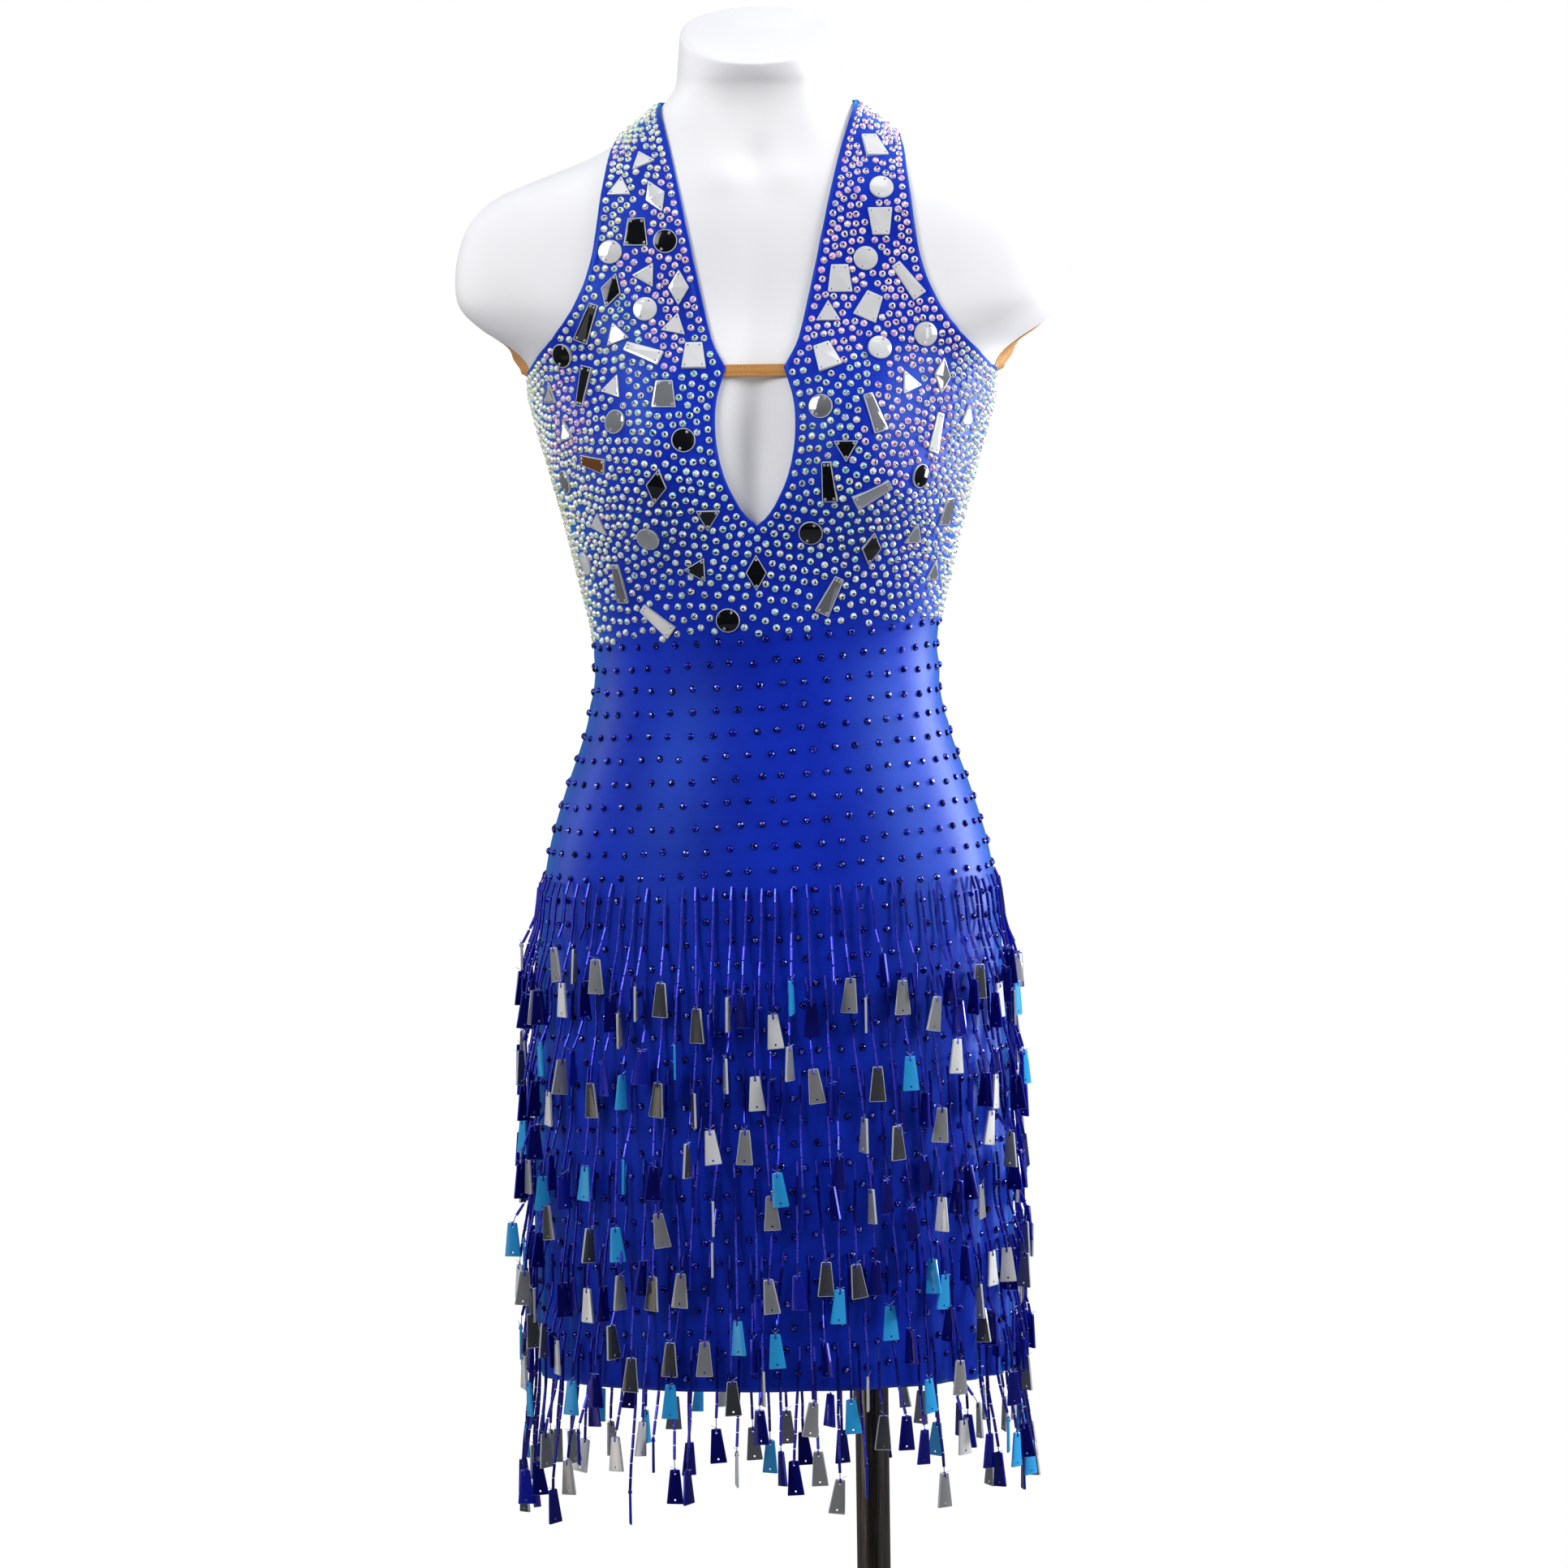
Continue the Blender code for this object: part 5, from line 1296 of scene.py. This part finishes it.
def hangString(string, rng, shapes):
    yaw = math.radians(string["yaw"])
    string["rootShift"] = rng.uniform(-1, 1) * fringe["rootScatter"]
    string["endLift"] = fringe["tileLift"] + fringe["tileSwing"] * abs(math.sin(yaw)) + rng.uniform(0, 2.2) * mm
    if string["noted"]:
        string["endLift"] += 3.5 * mm
    bare = 0.8 * mm if rng.random() < 0.66 else rng.uniform(3, 12) * mm
    count = int((string["length"] - bare) / fringe["beadPitch"])
    drops = [0.0] + [bare + k * fringe["beadPitch"] for k in range(count + 1)] + [string["length"]]
    points = stringPath(string, drops)
    points[2:-1] += np.array([[rng.gauss(0, 1) for _ in range(2)] + [0] for _ in range(len(points) - 3)]) * fringe["lean"]
    shapes.append(tubeShape(points, fringe["threadRadius"], 4, 9, capped=False))
    for k in range(1, count + 1):
        ahead = points[k + 1] - points[k]
        ahead /= np.linalg.norm(ahead)
        right = np.cross(ahead, (0.2, 1, 0))
        right /= np.linalg.norm(right)
        shapes.append(moved(beadShape, points[k], np.array([right, np.cross(ahead, right), ahead])))
    hole = points[-1]
    outward = bodyNormal(string["turn"], hole[2])
    outward = np.array((outward[0], outward[1], 0)) / math.hypot(outward[0], outward[1])
    sideways = np.cross((0, 0, 1), outward)
    wide = sideways * math.cos(yaw) + outward * math.sin(yaw)
    deep = outward * math.cos(yaw) - sideways * math.sin(yaw)
    tip = math.radians(rng.gauss(0, 4.5))
    down = np.array((0, 0, 1)) * math.cos(tip) + wide * math.sin(tip)
    across = wide * math.cos(tip) - np.array((0, 0, 1)) * math.sin(tip)
    centre = hole - down * tileHoleDrop - deep * tile["thickness"] / 2
    shapes.append(moved(tileShape, centre, np.array([across, down, deep]),
                        slotChange=dict(enumerate(finishes[string["finish"]]))))
    for side in (-1, 1):  # thread round the tile's top edge, then the knot's two cut ends
        edge = hole + down * (tile["holeIn"] + 0.5 * mm) + deep * side * 0.3 * mm
        shapes.append(tubeShape([hole + deep * side * 0.9 * mm, edge], 0.6 * mm, 6, 0))
        lean = across * side * rng.uniform(1.5, 4) * mm + down * rng.uniform(-1.5, 3) * mm + deep * rng.uniform(0.5, 2) * mm
        shapes.append(tubeShape([edge, edge + lean], 0.16 * mm, 3, 10, capped=False))


# Bugle beads: cut cobalt glass tube with a lustre, dark inside and a lilac line where light runs along
beadGlass = makeFacetGlass("cobaltBugleGlass", "#2427A4", 0.85, 0.17, 0.12)
# The pale, grey and dark tiles are one silver mirror acrylic; their face colours are painted reflections
tileMaterials = [makeMirror("silverMirrorPaleReflection", "#EDEEEF", 0.15), makeMirror("silverMirrorGreyReflection", "#A0A2A5", 0.35),
                 makeMirror("silverMirrorDarkReflection", "#5C5F63", 0.6), makeMirror("skyBlueAcrylic", "#2FA6EA", 0.05, 0.16),
                 makeMirror("royalBlueAcrylic", "#1C27B4", 0.2, 0.1), makeMirror("navyMirrorAcrylic", "#10147A", 0.4)]
nylonEnd = makeThread("nylonThreadEnds", "#6C7CC8", "#C3CBEE")


def makeFringe():
    rng = random.Random(fringe["seed"])
    plan = planStrings(rng)
    materials = [beadGlass] + tileMaterials + [acrylicRim, backPaint, threadBlue, nylonEnd]
    for row in range(len(fringe["strings"])):
        shapes = []
        for string in plan:
            if string["row"] == row:
                hangString(string, rng, shapes)
        piece = joinedMesh("bead_fringe_%d" % (row + 1), shapes, materials)
        finishPiece(piece, "bead_fringe", "fringe_row_%d" % (row + 1))
    print("strings:", len(plan), "tiles set from the photo:", sum(string["noted"] for string in plan))


print("bead fringe")
makeFringe()


# Studio
studio = {"floor": "#D4D4D5", "speck": "#CCCCCD", "floorRadius": 2.2, "white": "#FFFFFF",
          "cameraDistance": 5.0, "elevation": 3.8, "azimuth": 2.5, "lens": 175.8, "roll": -0.80,
          "aim": (0.0105, 0.0, 0.9915)}


def makeFloor():  # plain pale floor: painted board with a faint grain
    angles = 2 * math.pi * np.arange(96) / 96
    rings = [np.stack([r * np.cos(angles), r * np.sin(angles), np.full(96, z)], -1)
             for r, z in ((0.001, 0.0), (0.8, 0.0), (studio["floorRadius"], 0.0), (studio["floorRadius"], -0.02))]
    material, tree, shader = newMaterial("paleStudioFloor", {"Roughness": 0.7})
    place = addNode(tree, "TexCoord")
    grain = addNode(tree, "TexNoise", {"Scale": 1 / (4 * mm)}, {"Vector": (place, "Object")})
    colour = addNode(tree, "ValToRGB", None, {"Fac": (grain, "Fac")}, [(0.3, studio["speck"]), (0.7, studio["floor"])])
    joinShader(tree, shader, {"Base Color": (colour, "Color")})
    joinedMesh("floor", [gridShape(np.array(rings)[::-1], closed=True)], [material], 40)


def aimAt(thing, target):
    thing.rotation_euler = (Vector(target) - thing.location).to_track_quat("-Z", "Y").to_euler()


def addLight(name, place, target, size, power, spread=180, colour="#FFFFFF"):
    data = bpy.data.lights.new(name, "AREA")
    data.shape = "RECTANGLE"
    data.size, data.size_y = size
    data.energy = power
    data.color = linearColour(colour)[:3]
    data.spread = math.radians(spread)
    light = bpy.data.objects.new(name, data)
    bpy.context.scene.collection.objects.link(light)
    light.location = place
    aimAt(light, target)


def makeStudio():
    makeFloor()
    world = bpy.data.worlds.new("studioRoom")
    world.use_nodes = True
    bpy.context.scene.world = world
    tree = world.node_tree
    place = addNode(tree, "TexCoord")
    parts = addNode(tree, "SeparateXYZ", None, {"Vector": (place, "Generated")})
    lift = addNode(tree, "MapRange", {"From Min": -0.4, "From Max": 0.8, "To Min": 0.06, "To Max": 0.5},
                   {"Value": (parts, "Z")})
    front = addNode(tree, "MapRange", {"interpolation_type": "SMOOTHSTEP", "From Min": -0.95, "From Max": -0.55,
                                       "To Min": 0.15, "To Max": 1.0}, {"Value": (parts, "Y")})
    glow = addNode(tree, "Math", {"operation": "MULTIPLY"}, {0: (lift, "Result"), 1: (front, "Result")})
    room = tree.nodes["Background"]
    tree.links.new(glow.outputs[0], room.inputs["Strength"])
    room.inputs["Color"].default_value = linearColour("#F4F6FF")
    paper = addNode(tree, "Background", {"Color": linearColour(studio["white"]), "Strength": 1.0})
    path = addNode(tree, "LightPath")  # the room is seen as plain white and lights the part softly
    mix = addNode(tree, "MixShader", None, {0: (path, "Is Camera Ray"), 1: (room, "Background"), 2: (paper, "Background")})
    tree.links.new(mix.outputs[0], tree.nodes["World Output"].inputs["Surface"])
    upper = (0, 0, 1.3)
    addLight("softboxLeft", (-1.25, -1.35, 2.2), (0, 0, 1.36), (0.8, 0.9), 3.1, 60)
    addLight("softboxRight", (1.9, -0.6, 1.9), (0, 0, 1.27), (0.9, 1.5), 7.5, 80)
    addLight("stripBehindRight", (1.5, 0.8, 1.5), (0, 0, 1.1), (0.4, 1.5), 38)
    addLight("stripBehindLeft", (-1.7, 0.7, 1.7), (0, 0, 1.2), (0.3, 1.6), 7)
    addLight("stripLeft", (-1.5, -1.9, 1.27), (0, 0, 1.15), (0.3, 1.1), 1.7)
    addLight("stripRight", (1.9, -1.7, 1.27), (0, 0, 1.15), (0.3, 1.1), 1.4)
    addLight("warmCard", (-2.0, -0.9, 0.42), (0, 0, 0.5), (1.5, 0.4), 0.3, 60, "#F2DDBE")
    addLight("topBank", (0.0, -0.6, 3.4), upper, (2.2, 1.4), 4.2, 120)
    camera = bpy.data.objects.new("camera", bpy.data.cameras.new("camera"))
    bpy.context.scene.collection.objects.link(camera)
    rise, swing = math.radians(studio["elevation"]), math.radians(studio["azimuth"])
    aim = Vector(studio["aim"])
    back = Vector((math.sin(swing) * math.cos(rise), -math.cos(swing) * math.cos(rise), math.sin(rise)))
    camera.location = aim + back * studio["cameraDistance"]
    level = (-back).to_track_quat("-Z", "Y")
    camera.rotation_mode = "QUATERNION"
    camera.rotation_quaternion = level @ Quaternion((0, 0, 1), math.radians(studio["roll"]))
    camera.data.lens = studio["lens"]
    camera.data.sensor_width = 36
    camera.data.clip_end = 100
    bpy.context.scene.camera = camera
    bpy.context.scene.view_settings.view_transform = "Standard"


print("studio")
makeStudio()
